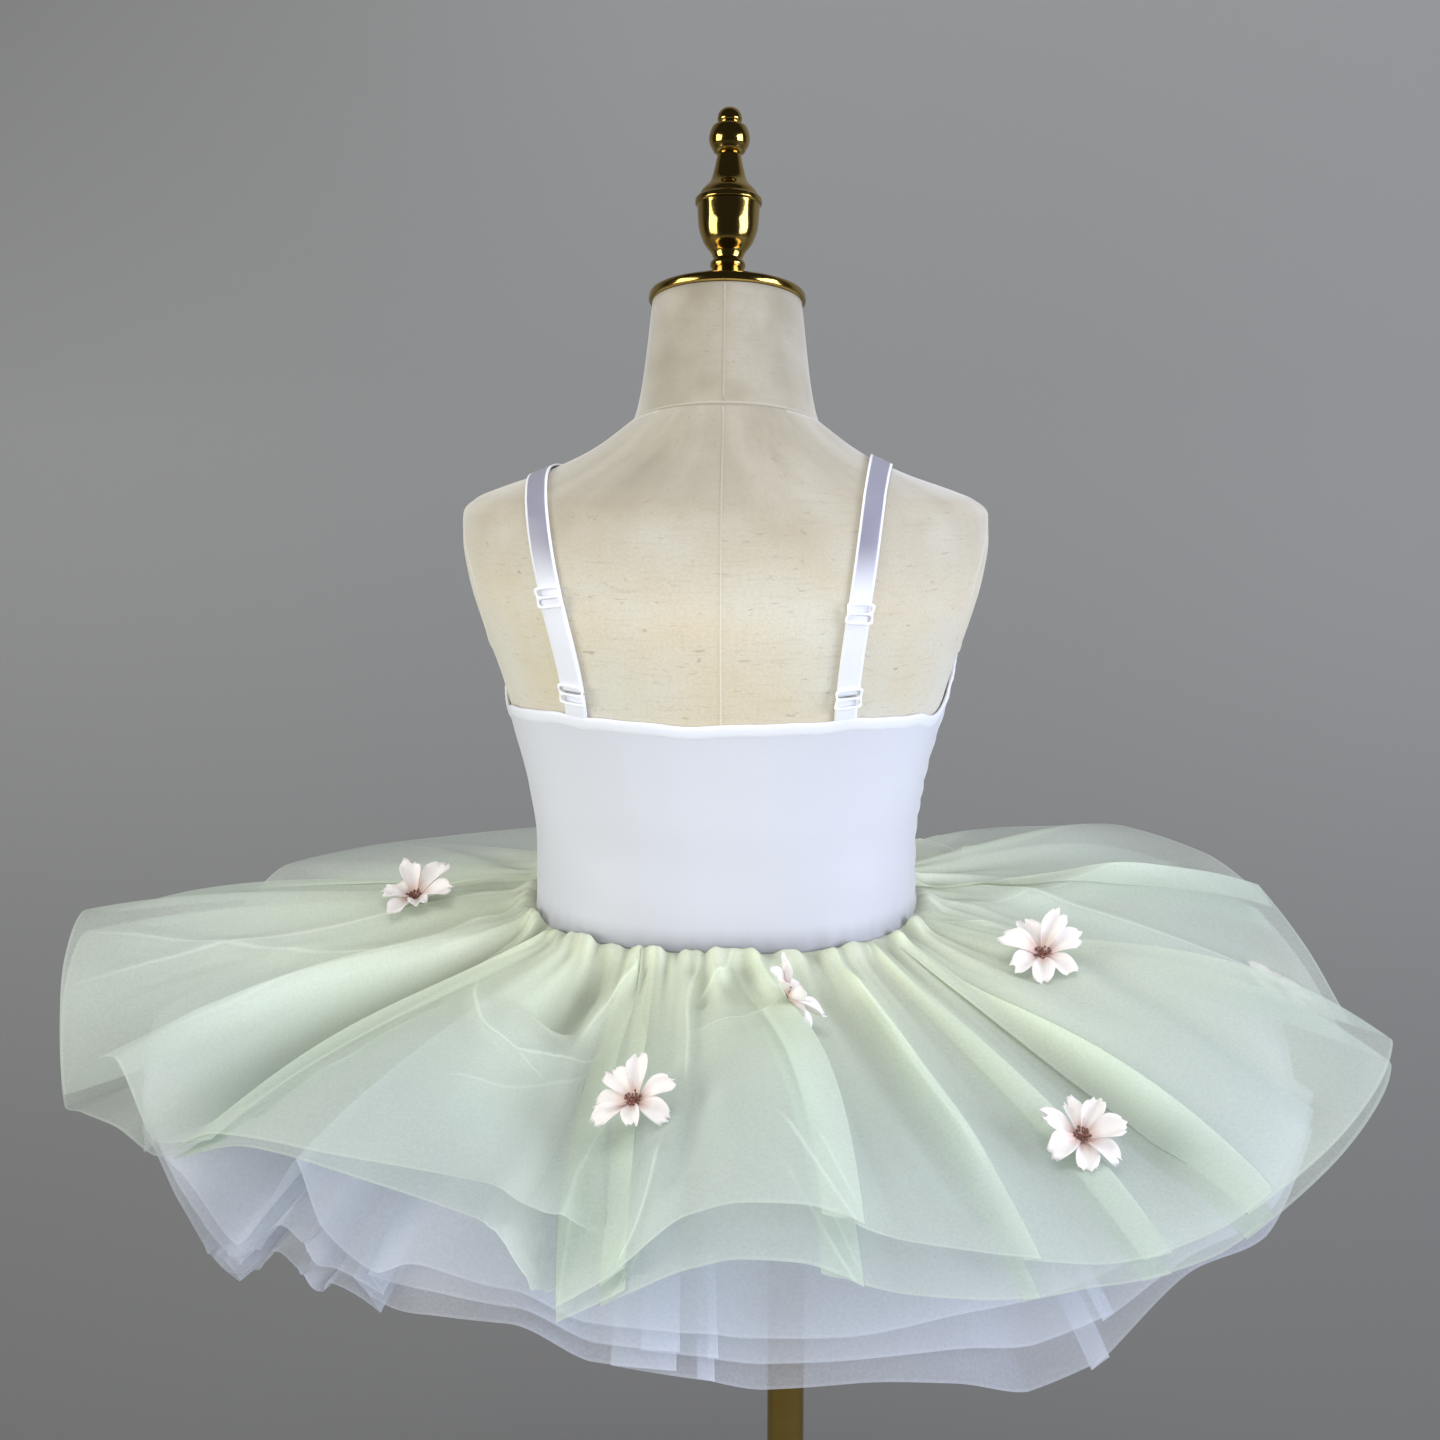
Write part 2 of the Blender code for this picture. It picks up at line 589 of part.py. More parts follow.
def slider(name, row, next_row):
    """Figure-eight slider lying on the strap: a plate with two windows."""
    width, height = SLIDER_SIZE
    bar = SLIDER_BAR
    window = (height - 3 * bar) / 2
    across = (0.0, bar, width - bar, width)
    along = (0.0, bar, bar + window, 2 * bar + window, height - bar, height)
    side = (row[2] - row[0]).normalized()
    run = (next_row[1] - row[1]).normalized()
    out = side.cross(run).normalized()
    if out.y > 0:
        out.negate()
    centre = row[1] + out * (STRAP_WALL + SLIDER_CLEARANCE)
    bm = loft(
        [[centre + side * (a - width / 2) + run * (b - height / 2) for a in across] for b in along],
        closed=False,
    )
    bar_area = (width - 2 * bar) * bar
    windows = [face for face in bm.faces if face.calc_area() > 1.2 * bar_area]
    bmesh.ops.delete(bm, geom=windows, context="FACES")
    return sheet(name, bm, "plastic_white", SLIDER_WALL, 1.0, centre - out)


def build_straps(torso):
    """Two straps with their tabs and sliders."""
    tree = surface_tree(torso)
    inside = Vector((BODY_X, 0, WAIST_HEIGHT + 0.10))
    for strap in STRAPS:
        rows = strap_rows(tree, strap)
        back = [row for row in rows if row[1].y < 0]
        low = round(strap.lower_slider * len(back))
        high = round(strap.upper_slider * len(back))
        tab_rows = rows[: low + 1]
        long_rows = rows[low:]
        run = (long_rows[1][1] - long_rows[0][1]).normalized()
        long_rows[0] = [point + run * 2 * GAP for point in long_rows[0]]
        ribbon(f"strap_tab_{strap.name}", sparse(tab_rows), inside)
        ribbon(f"strap_{strap.name}", sparse(long_rows), inside)
        slider(f"slider_low_{strap.name}", rows[low], rows[low + 1])
        slider(f"slider_high_{strap.name}", rows[high], rows[high + 1])


# ---- skirt -------------------------------------------------------------------------------------
class Skirt:
    """The lines that one fold table describes: plan position and height of every grid point."""

    def __init__(self, folds, rings, gather, start_height):
        self.rings = np.array(rings)
        self.places = self.columns(folds)
        self.parity = np.where(np.arange(len(self.places)) % 2, -1.0, 1.0)
        self.gather = gather
        read = {
            field: round_folds(folds, field, self.places)
            for field in ("reach", "drop", "arch", "under")
        }
        waist = round_folds(folds, "waist_deg", self.places, 360.0)
        hem = np.radians(round_folds(folds, "hem_deg", self.places, 360.0))
        middle = waist_middle()
        starts = [form_point(angle, start_height / MM, CLOTH_CLEARANCE) for angle in waist]
        start_x = np.array([p.x for p in starts])
        start_y = np.array([p.y for p in starts])
        end_x = middle.x + read["reach"] * MM * np.sin(hem)
        end_y = middle.y - read["reach"] * MM * np.cos(hem)
        v = self.rings[:, None]
        self.x = start_x + (end_x - start_x) * v
        self.y = start_y + (end_y - start_y) * v
        dip = np.array([seam_drop(angle) for angle in waist])
        puff = ARCH_SCALE * v * v * (1 - v)
        self.fall = (read["drop"] * v - read["arch"] * puff) * MM + dip * (1 - v)
        self.under = read["under"] * MM
        self.angle = np.unwrap(np.arctan2(self.x - middle.x, middle.y - self.y), axis=1)
        self.radius = np.hypot(self.x - middle.x, self.y - middle.y)

    @staticmethod
    def columns(folds):
        """A column on each fold line, and one between two lines that are far apart."""
        places = []
        for index, row in enumerate(folds):
            following = folds[(index + 1) % len(folds)]
            places.append(float(index))
            if (following.hem_deg - row.hem_deg) % 360.0 > WIDE_FOLD:
                places.append(index + 0.5)
        return np.array(places)

    def heights(self, layer, extra):
        """Heights of one layer: `layer` steps down at the seam, `extra` metres down on each ring."""
        v = self.rings[:, None]
        fading = np.interp(v, (0.0, NEAR_SEAM, 0.45), (0.0, 1.0, 0.0))
        gathers = self.gather * self.parity * fading
        return WAIST_HEIGHT - GAP - layer * LAYER_STEP * (1 - v) - self.fall - extra + gathers

    def floor_under(self, heights):
        """Height that the next layer stays below, further down where a fold's flank is steep."""
        run = np.hypot(self.x - np.roll(self.x, -1, 1), self.y - np.roll(self.y, -1, 1))
        slope = np.abs(heights - np.roll(heights, -1, 1)) / run
        steepest = np.maximum(slope, np.roll(slope, 1, 1))
        return heights - (TULLE_WALL + TULLE_AIR) * np.sqrt(1 + steepest ** 2)

    def height_at(self, heights, angle, radius):
        """Lowest height of a layer near places given round the middle of the waist."""
        turn = np.arange(0.0, math.tau, math.tau / 360)
        across = [
            (np.interp(turn, ring_angle, ring_radius, period=math.tau),
             np.interp(turn, ring_angle, ring_height, period=math.tau))
            for ring_angle, ring_radius, ring_height in zip(self.angle, self.radius, heights)
        ]
        radii = np.array([pair[0] for pair in across])
        levels = np.array([pair[1] for pair in across])
        nearest = np.round((angle % math.tau) / math.tau * 360).astype(int)
        lowest = [
            min(
                np.interp(r, radii[:, k % 360], levels[:, k % 360])
                for k in (centre - NEIGHBOUR, centre, centre + NEIGHBOUR)
            )
            for r, centre in zip(radius, nearest)
        ]
        return np.array(lowest)

    def build(self, name, heights, finish):
        """Make one layer's solid from its heights."""
        rows = [
            [Vector(point) for point in zip(xs, ys, zs)]
            for xs, ys, zs in zip(self.x, self.y, heights)
        ]
        bm = loft(rows)
        bmesh.ops.triangulate(bm, faces=bm.faces, quad_method="FIXED")
        return sheet(name, bm, finish, TULLE_WALL, -1.0, Vector((BODY_X, 0.0, 0.0)))


def build_skirt():
    """Two green layers over three white ones, each clear of the next."""
    green = Skirt(GREEN_FOLDS, GREEN_RINGS, GATHER_DEPTH, -SEAM_DIP - LAYER_STEP)
    v = green.rings[:, None]
    outer = green.heights(0, 0.0)
    under = np.minimum(green.heights(1, green.under * v ** 1.2), green.floor_under(outer))
    outer_obj = green.build("skirt_green_outer", outer, "tulle_green")
    green.build("skirt_green_under", under, "tulle_green")

    white = Skirt(WHITE_FOLDS, WHITE_RINGS, GATHER_DEPTH / 2, -SEAM_DIP - 5 * LAYER_STEP)
    w = white.rings[:, None]
    opening = np.minimum(w / NEAR_SEAM, 1.0)
    roof = np.array([
        green.height_at(green.floor_under(under), ring_angle, ring_radius)
        for ring_angle, ring_radius in zip(white.angle, white.radius)
    ])
    upper = np.minimum(white.heights(2, -white.under * w), roof - LAYER_CLEARANCE * opening)
    middle = np.minimum(white.heights(3, -0.55 * white.under * w), white.floor_under(upper))
    lower = np.minimum(white.heights(4, 0.0), white.floor_under(middle))
    white.build("skirt_white_upper", upper, "tulle_white")
    white.build("skirt_white_middle", middle, "tulle_white")
    white.build("skirt_white_lower", lower, "tulle_white")
    return outer_obj


# ---- flowers -----------------------------------------------------------------------------------
def flower_shape():
    """Rosette of petals with notches between, cupped upward, round its own Z axis."""
    inner, outer = [], []
    for k in range(2 * PETALS):
        angle = math.pi * k / PETALS
        out = Vector((math.cos(angle), math.sin(angle), 0.0))
        share, rise = (PETAL_NOTCH, PETAL_CUP[1]) if k % 2 else (1.0, PETAL_CUP[0])
        inner.append(out * FLOWER_CENTRE)
        outer.append(out * FLOWER_RADIUS * share + Vector((0.0, 0.0, rise)))
    bm = loft([inner, outer])
    middle = [e for e in bm.edges if e.is_boundary and e.verts[0].co.length < 2 * FLOWER_CENTRE]
    bmesh.ops.holes_fill(bm, edges=middle, sides=0)
    return bm


def flower_axis(normal, row):
    """Direction a flower faces: the cloth's own, leaned toward the row's body angle."""
    toward = math.radians(row.toward)
    level = Vector((math.sin(toward), -math.cos(toward), 0.0))
    along = (level - normal * level.dot(normal)).normalized()
    lean = math.radians(row.lean)
    return normal * math.cos(lean) + along * math.sin(lean)


def build_flowers(outer_obj):
    """Place the flowers on the outer layer, each lifted until it clears the cloth."""
    tree = surface_tree(outer_obj)
    middle = waist_middle()
    down = Vector((0, 0, -1))
    sky = WAIST_HEIGHT + 0.5
    for row in FLOWERS:
        angle = math.radians(row.angle)
        across = Vector((math.sin(angle), -math.cos(angle), 0.0)) * row.radius * MM
        place, normal, _, _ = tree.ray_cast(Vector((middle.x, middle.y, sky)) + across, down)
        facing = flower_axis(normal.lerp(-down, 0.4).normalized(), row)
        turn = Matrix.Rotation(math.radians(row.turn), 4, "Z")
        frame = facing.to_track_quat("Z", "Y").to_matrix().to_4x4()
        bm = flower_shape()
        bmesh.ops.transform(bm, matrix=Matrix.Translation(place) @ frame @ turn, verts=bm.verts)
        needed = 0.0
        for vert in bm.verts:
            for share in (0.5, 0.75, 1.0):
                point = place.lerp(vert.co, share)
                hit = tree.ray_cast(Vector((point.x, point.y, sky)), down)[0]
                if hit is not None:
                    needed = max(needed, hit.z - point.z)
        lift = Vector((0, 0, needed + FLOWER_CLEARANCE))
        bmesh.ops.translate(bm, vec=lift, verts=bm.verts)
        sheet(f"flower_{row.name}", bm, "petal_white", FLOWER_WALL, 1.0, place - facing)


def main():
    """Build the whole object."""
    clear_scene()
    build_stand()
    torso = build_form()
    build_bodice()
    build_straps(torso)
    outer = build_skirt()
    build_flowers(outer)


main()
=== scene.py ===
"""Child's ballet tutu on a limbless dress form: its cloth, flowers, form, stand and stage.

Frame: metres, +Z up, origin on the floor under the pole. The garment's back faces -Y. Angles run
round the body from the centre back, + toward +X. Tables are in millimetres and degrees, and
their heights are measured from the waist seam.
"""

import math
import random
from collections import namedtuple

import bmesh
import bpy
import numpy as np
from mathutils import Matrix, Vector
from mathutils.bvhtree import BVHTree


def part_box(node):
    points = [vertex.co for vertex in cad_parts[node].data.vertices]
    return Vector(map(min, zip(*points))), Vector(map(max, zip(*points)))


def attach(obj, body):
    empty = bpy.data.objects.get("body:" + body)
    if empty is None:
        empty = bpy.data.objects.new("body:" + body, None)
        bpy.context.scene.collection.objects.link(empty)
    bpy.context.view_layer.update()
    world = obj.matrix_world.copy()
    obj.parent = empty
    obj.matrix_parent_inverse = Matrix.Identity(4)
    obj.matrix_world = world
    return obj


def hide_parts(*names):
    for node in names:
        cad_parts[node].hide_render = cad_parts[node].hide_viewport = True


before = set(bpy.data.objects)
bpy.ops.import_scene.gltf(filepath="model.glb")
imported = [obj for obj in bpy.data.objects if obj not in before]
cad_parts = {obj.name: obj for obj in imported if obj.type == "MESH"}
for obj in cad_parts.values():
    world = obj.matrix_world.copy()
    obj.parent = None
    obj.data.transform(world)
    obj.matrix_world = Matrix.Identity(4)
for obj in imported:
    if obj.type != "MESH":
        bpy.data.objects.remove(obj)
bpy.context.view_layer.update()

bl_info = {
    "name": "Ballet tutu on a dress form",
    "version": (1, 0, 0),
    "blender": (4, 5, 0),
    "location": "View3D > Sidebar > Tutu",
    "description": "Builds the cloth, flowers, dress form, stand and stage of a child's tutu",
    "category": "Object",
}

MM = 0.001

# ---- sizes shared with the solids ------------------------------------------------------------
WAIST_HEIGHT = 0.625
BODY_X = -0.032
SEAM_DIP = 0.004
GARMENT_TURN = -4.5
NECK_TILT = 23.0
LAYER_STEP = 0.0022
STRAP_WIDTH = 0.0105
POLE_RADIUS = 0.0098
CLOTH_LIFT = 0.0010           # inside of the bodice, and of the skirt's seam, above the form
GAP = 0.0003                  # between pieces that meet

Section = namedtuple("Section", "height half_width half_depth forward tilt squareness")
TORSO = (
    Section(-150, 98, 85, 4, 0, 2.3),
    Section(-143, 104, 90, 4, 0, 2.3),
    Section(-100, 105, 90, 4, 0, 2.3),
    Section(-50, 101, 86, 6, 0, 2.3),
    Section(-15, 96.5, 81, 8, 0, 2.3),
    Section(12, 94.8, 78, 8, 0, 2.3),
    Section(36, 94.9, 76.5, 8, 0, 2.3),
    Section(62, 98, 76, 6, 0, 2.3),
    Section(92, 104.5, 77.5, 3, 0, 2.35),
    Section(122, 112, 80, 0, 0, 2.4),
    Section(148, 120.5, 81, -2, 1, 2.45),
    Section(172, 127, 78.5, -4, 2, 2.5),
    Section(190, 129.4, 74.5, -6, 4, 2.5),
    Section(203, 128.6, 69, -7, 6, 2.45),
    Section(209.8, 122.5, 64.5, -7, 8, 2.4),
    Section(215.2, 109, 60, -6, 10, 2.3),
    Section(221, 90, 55.5, -4, 14, 2.2),
    Section(231, 67, 50.5, -2, 18, 2.1),
    Section(243, 48.5, 46.5, 2, NECK_TILT, 2.0),
)
NECK = (
    Section(243.6, 46.4, 46.4, 2.2, NECK_TILT, 2.0),
    Section(252, 43.8, 43.8, 4.5, NECK_TILT, 2.0),
    Section(266, 41.2, 41.2, 8.0, NECK_TILT, 2.0),
    Section(284, 39.0, 39.0, 12.0, NECK_TILT, 2.0),
    Section(303, 36.9, 36.9, 16.0, NECK_TILT, 2.0),
)
Turned = namedtuple("Turned", "radius height sharp")
CAP_PROFILE = (
    Turned(0, 0, 1), Turned(37.4, 0, 1), Turned(38.6, 0.7, 0), Turned(38.8, 2.6, 0),
    Turned(38.2, 4.3, 1), Turned(37.2, 4.9, 1), Turned(35.0, 5.9, 0), Turned(27.0, 8.3, 0),
    Turned(18.0, 10.2, 0), Turned(12.0, 11.1, 0), Turned(0, 11.4, 0),
)
FINIAL_SEAT = 11.2            # mm above the cap's foot; the same height as in the solids
FINIAL_PROFILE = (
    Turned(0, 0, 1), Turned(12.9, 0, 1), Turned(13.0, 0.9, 0), Turned(12.2, 1.8, 1),
    Turned(9.6, 3.4, 0), Turned(7.4, 5.0, 1), Turned(8.2, 6.2, 0), Turned(8.8, 7.8, 0),
    Turned(8.4, 9.4, 1), Turned(7.2, 10.8, 0), Turned(8.2, 13.9, 0), Turned(12.3, 19.9, 0),
    Turned(14.8, 27.8, 0), Turned(15.5, 37.4, 0), Turned(15.6, 38.6, 1), Turned(16.6, 39.6, 0),
    Turned(16.6, 41.4, 0), Turned(15.4, 42.4, 1), Turned(13.9, 45.4, 0), Turned(9.0, 51.6, 0),
    Turned(7.3, 57.8, 0), Turned(5.7, 65.6, 1), Turned(7.6, 66.4, 0), Turned(8.6, 68.1, 1),
    Turned(9.8, 70.6, 0), Turned(10.2, 73.6, 0), Turned(8.8, 79, 0), Turned(5.4, 81.6, 1),
    Turned(6.2, 83.2, 0), Turned(5.9, 85.6, 0), Turned(3.8, 88.7, 0), Turned(0, 89.8, 0),
)
BASE_PROFILE = (
    Turned(0, 0, 1), Turned(148.5, 0, 1), Turned(150, 1.5, 0), Turned(150, 8, 0),
    Turned(147, 11, 0), Turned(142, 12, 0), Turned(60, 12.1, 0), Turned(23, 12.2, 1),
    Turned(22, 13, 0), Turned(22, 24, 0), Turned(20, 26, 0), Turned(12, 26, 1),
    Turned(0, 26, 1),
)
COLLAR_PROFILE = (
    Turned(0, 0, 1), Turned(17, 0, 1), Turned(19, 2, 0), Turned(19, 8, 1), Turned(30, 11, 1),
    Turned(30, 14, 1), Turned(0, 14, 1),
)

EdgePoint = namedtuple("EdgePoint", "angle height")
TOP_EDGE = (
    EdgePoint(0, 112), EdgePoint(35, 114), EdgePoint(58, 111.5), EdgePoint(76, 107.5),
    EdgePoint(88, 114), EdgePoint(97, 128), EdgePoint(108, 143), EdgePoint(122, 156),
    EdgePoint(140, 164), EdgePoint(158, 156), EdgePoint(180, 150),
)

# side: -1 the wearer's left, +1 the wearer's right
# back_x, shoulder_x, front_x: mm beside the form's middle at STRAP_BACK, peak and STRAP_FRONT
# peak: degrees from straight up, + toward the front
# sliders: share of the strap's back, from the bodice up
# bow: how soon the strap leaves shoulder_x; more is sooner
Strap = namedtuple(
    "Strap", "name side back_x shoulder_x front_x upper_slider lower_slider peak bow"
)
STRAPS = (
    Strap("left", -1, 68.8, 89.5, 55.0, 0.415, 0.079, -22.0, 2.5),
    Strap("right", 1, 58.8, 76.0, 69.0, 0.36, 0.075, 0.0, 2.3),
)
STRAP_BACK = -125.0           # degrees from straight up where a strap meets the bodice, behind
STRAP_FRONT = 95.0            # and in front

# ---- skirt: a row for each fold line, going round from the wearer's left side ----------------
# waist, hem: body angles where the line leaves the seam and meets the hem
# reach: hem's distance from the middle of the waist     drop: hem below the waist seam
# arch: how far it stands above a straight line, two thirds of the way out
# crease: 0 rounded .. 1 sharp    under: how much lower the second layer's hem hangs
# tuck: degrees of cloth doubled under at the line, + with the left side on top, - with the right
# bow: degrees that the line swings sideways at its middle
# short: how much less the cloth reaches out at a doubled line's hidden turn
Fold = namedtuple("Fold", "waist hem reach drop arch crease under tuck bow short", defaults=(0,))
GREEN_FOLDS = (
    Fold(-99, -91, 337, 14, 6, 0.0, 12, 0, 0),
    Fold(-94, -83, 338, 28, 0, 0.3, 12, 0, 0),
    Fold(-90, -77, 338, 48, -2, 0.0, 10, 0, 0),
    Fold(-86, -69, 339, 66, -4, 0.6, 6, 0, 0),
    Fold(-83, -62, 338, 38, 2, 0.2, 22, 0, 0),
    Fold(-78, -54, 336, 18, 8, 0.2, 34, 0, 0),
    Fold(-70, -49, 332, 50, -8, 0.5, 7, 0, 0),
    Fold(-63, -46, 332, 48, 4, 0.9, 4, -5, 1),
    Fold(-57, -40, 333, 31, 12, 0.0, 4, 0, 0),
    Fold(-49, -32, 333, 25, 12, 0.0, 5, 0, 0),
    Fold(-41, -23, 331, 24, 8, 0.0, 11, 0, 0),
    Fold(-33, -15.5, 330, 26, -10, 0.0, 17, 0, 0),
    Fold(-27, -13.2, 327, 34, -14, 0.4, 16, 0, 0),
    Fold(-23, -10.8, 324, 81, 14, 1.0, 7, -2.4, -2, 38),
    Fold(-16, -5.5, 326, 60, 14, 0.0, 10, 2.0, 0),
    Fold(-9, -0.8, 329, 34, 8, 0.0, 24, 0, 0),
    Fold(-2, 3.2, 330, 28, 14, 0.0, 25, 0, 0),
    Fold(3, 7.5, 329, 30, 24, 0.0, 26, 0, 0),
    Fold(8, 11.9, 329, 40, 27, 0.9, 28, 3.2, 0.6),
    Fold(14, 14.5, 327, 49, 2, 0.4, 24, 0, 0),
    Fold(23, 20, 326, 58, 6, 0.0, 22, 0, 0),
    Fold(31, 26, 326, 67, 10, 0.4, 18, 1.5, 0),
    Fold(39, 32, 325, 77, 1, 0.2, 10, 0, 0),
    Fold(48, 39, 323, 82, 10, 0.9, 10, 3.0, 0),
    Fold(54, 44, 328, 76, 0, 0.3, 12, 0, 0),
    Fold(61, 50, 330, 68, 11, 0.9, 12, 3.5, 0),
    Fold(68, 58, 338, 56, 8, 0.0, 10, 0, 0),
    Fold(76, 68, 339, 48, 14, 0.3, 10, 0, 0),
    Fold(81, 76, 338, 46, 20, 0.5, 12, 0, 0),
    Fold(88, 86, 334, 62, 6, 0.0, 12, 0, 0),
    Fold(96, 97, 332, 78, 0, 0.4, 12, 0, 0),
    Fold(104, 108, 331, 56, 4, 0.0, 12, 0, 0),
    Fold(111, 117, 331, 36, 10, 0.2, 14, 3, 0),
    Fold(118, 126, 332, 30, -4, 0.0, 14, 0, 0),
    Fold(126, 136, 332, 28, 6, 0.0, 14, 0, 0),
    Fold(135, 146, 331, 38, -6, 0.0, 14, 0, 0),
    Fold(144, 154, 330, 47, 2, 0.3, 16, 0, 0),
    Fold(156, 164, 327, 82, -2, 0.2, 12, 0, 0),
    Fold(167, 174, 331, 48, 4, 0.3, 16, 3, 0),
    Fold(178, 183, 327, 80, -2, 0.0, 12, 0, 0),
    Fold(189, 193, 331, 48, 4, 0.3, 16, -3.5, 0),
    Fold(199, 202, 329, 50, 2, 0.0, 16, 0, 0),
    Fold(209, 212, 330, 49, -4, 0.2, 12, 0, 0),
    Fold(219, 222, 334, 47, 4, 0.3, 16, 0, 0),
    Fold(229, 232, 335, 46, 2, 0.0, 14, 0, 0),
    Fold(238, 241, 335, 64, -4, 0.0, 12, 0, 0),
    Fold(246, 250, 336, 38, 6, 0.3, 14, -3, 0),
    Fold(254, 260, 337, 30, 2, 0.0, 12, 0, 0),
)
WHITE_FOLDS = (
    Fold(-96, -92, 300, 92, 10, 0.0, 22, 0, 0),
    Fold(-86, -78, 300, 118, 4, 0.3, 22, 0, 0),
    Fold(-76, -64, 304, 84, 12, 0.0, 20, 0, 0),
    Fold(-66, -50, 318, 74, 10, 0.3, 5, 0, 0),
    Fold(-59, -43, 311, 100, 8, 1.0, 4, 4, 0),
    Fold(-52, -33.4, 320, 42, 6, 0.5, 4, 0, 0),
    Fold(-50, -32.6, 311, 82, 6, 0.8, 12, 0, 0),
    Fold(-44, -28, 303, 108, 8, 1.0, 18, 3, 0),
    Fold(-36, -23.6, 306, 102, 10, 0.0, 22, 0, 0),
    Fold(-25, -16, 304, 101, 6, 0.0, 16, 0, 0),
    Fold(-16, -9.5, 296, 118, 6, 0.4, 18, 0, 0),
    Fold(-8, -2.3, 294, 121, 6, 1.0, 18, 5.6, 0),
    Fold(-3, 0.9, 291, 127, 6, 0.9, 22, 1.5, 0),
    Fold(2, 5, 287, 133, 6, 0.3, 24, 0, 0),
    Fold(12, 13, 288, 132, 8, 0.0, 22, 0, 0),
    Fold(23, 22, 288, 138, 4, 0.0, 32, 0, 0),
    Fold(34, 30, 284, 152, 4, 0.5, 44, 0, 0),
    Fold(44, 38, 292, 142, 10, 0.2, 42, 2, 0),
    Fold(54, 46, 306, 106, 8, 0.0, 16, 0, 0),
    Fold(66, 60, 300, 118, 8, 0.3, 22, 0, 0),
    Fold(78, 74, 302, 94, 10, 0.0, 20, 0, 0),
    Fold(91, 89, 296, 122, 4, 0.3, 22, 0, 0),
    Fold(106, 106, 300, 92, 8, 0.0, 20, 3, 0),
    Fold(122, 124, 294, 122, 4, 0.3, 22, 0, 0),
    Fold(138, 141, 300, 96, 8, 0.0, 20, 0, 0),
    Fold(154, 157, 292, 124, 4, 0.3, 22, -3, 0),
    Fold(170, 173, 298, 96, 8, 0.0, 20, 0, 0),
    Fold(186, 189, 292, 126, 4, 0.3, 22, 0, 0),
    Fold(202, 205, 300, 94, 8, 0.0, 20, 3, 0),
    Fold(218, 221, 294, 122, 4, 0.3, 22, 0, 0),
    Fold(234, 237, 300, 92, 8, 0.0, 20, 0, 0),
    Fold(249, 253, 296, 120, 4, 0.3, 22, 0, 0),
)
# ---- creases pressed into the green layers, each along a line of (body angle, radius) points
# width: how far it spreads to each side    rise: + ridge, - trough    line: bright edge, denser net with a painted highlight, 0 .. 1
Crease = namedtuple("Crease", "points width rise line")
CREASES = (
    Crease(((-81, 331), (-83, 269), (-85, 204), (-91, 143), (-97, 103)), 5, 2.2, 0.6),
    Crease(((-78, 316), (-80, 269), (-82, 218), (-85, 168), (-90, 127)), 4, 1.6, 0.0),
    Crease(((-54, 322), (-55, 281), (-58, 236), (-64, 185), (-72, 140), (-80, 106)), 9, 4.0, 0.3),
    Crease(((-50, 310), (-51, 245), (-54, 182), (-60, 127), (-65, 100)), 7, -4.5, 0.0),
    Crease(
        ((-44, 165), (-36, 190), (-28, 214), (-24.5, 215), (-22.4, 201), (-17, 179)), 4.5, 2.0, 0.9
    ),
    Crease(((-24.1, 216), (-20.5, 217)), 4, 1.0, 0.4),
    Crease(((-26.6, 264), (-21.9, 247), (-20.0, 223), (-17.0, 189)), 4.5, 0.8, 0.35),
    Crease(((-36, 92), (-30.5, 134), (-27, 178)), 12, -14.0, 0.0),
    Crease(((-24, 92), (-22.4, 130), (-21.1, 174)), 4, 3.5, 0.7),
    Crease(((-6.6, 88), (-5.5, 140), (-3.5, 186), (-2.7, 226)), 4, 3.5, 0.8),
    Crease(((-5.0, 83), (-3.4, 113), (-2.4, 153)), 4, -5.0, 0.0),
    Crease(((4.0, 86), (0.7, 107), (-4.0, 137)), 4, 3.0, 0.7),
    Crease(((10.4, 158), (4.7, 180), (-3.4, 180)), 4.5, 1.4, 0.5),
    Crease(((-11.1, 238), (-11.8, 268), (-11.3, 292), (-10.6, 324)), 4, 2.0, 0.6),
    Crease(((-4.2, 270), (-4.4, 294), (-5.1, 315), (-6.4, 325)), 4, 2.4, 0.9),
    Crease(((-0.7, 238), (-1.3, 277), (-2.4, 306)), 7, -5.0, 0.0),
    Crease(((6.4, 284), (8.0, 304), (10.0, 322), (11.4, 330)), 4, 1.6, 0.9),
    Crease(((9.3, 293), (10.3, 309), (11.6, 324)), 4, 1.3, 0.6),
    Crease(((24.5, 93), (24, 151), (22.2, 224), (22.1, 280), (22.7, 314)), 10, -6.0, 0.0),
    Crease(((35.8, 91), (30, 157), (26.6, 217), (26, 280)), 6, 4.0, 0.4),
    Crease(((62, 113), (53, 174), (48, 243), (46.6, 297)), 9, -5.0, 0.0),
    Crease(((110.5, 108), (106, 190), (102, 268), (99, 330)), 6, 3.0, 0.5),
    Crease(((85, 135), (68, 213), (61.6, 287), (58.8, 326)), 8, -4.0, 0.0),
)
FRONT_TURN = 174.0            # the front has the same creases turned by this, a little shallower
FRONT_RISE = 0.8
PUFFS = 30                    # places where the net billows up beside the waist seam
PUFF_RISE = 0.0078
# a fold's bright edge is denser net with a painted highlight
SHARP_FOLD = 0.8              # a fold at least this sharp has a bright edge
LINE_HALF_WIDTH = 1.4         # of a fold's bright edge (mm)
CREASE_STEPS = 5              # points between two given points of a crease
LINE_REACH = 9.0              # how far from a crease its edge is worked out (mm)
LINE_SETS = 3                 # parts of a vector; no two neighbouring creases share one
# the troughs' darkness is painted shade
WHITE_SHADE = 0.2             # how dark the white layers' troughs are beside the green ones'
SHADE_REACH = 14              # columns to each side that a trough is measured against
DEEPEST = 1.7                 # limit of a trough's depth, in units that grow toward the hem
PUFF_SCALE = 27 / 4           # makes v * v * (1 - v) reach 1
TUCK_DROP = 1.8               # how far below its panel a doubled strip lies (mm)
WAIST_TUCK = 2.2              # a doubled strip's width at the seam, as a share of that at the hem
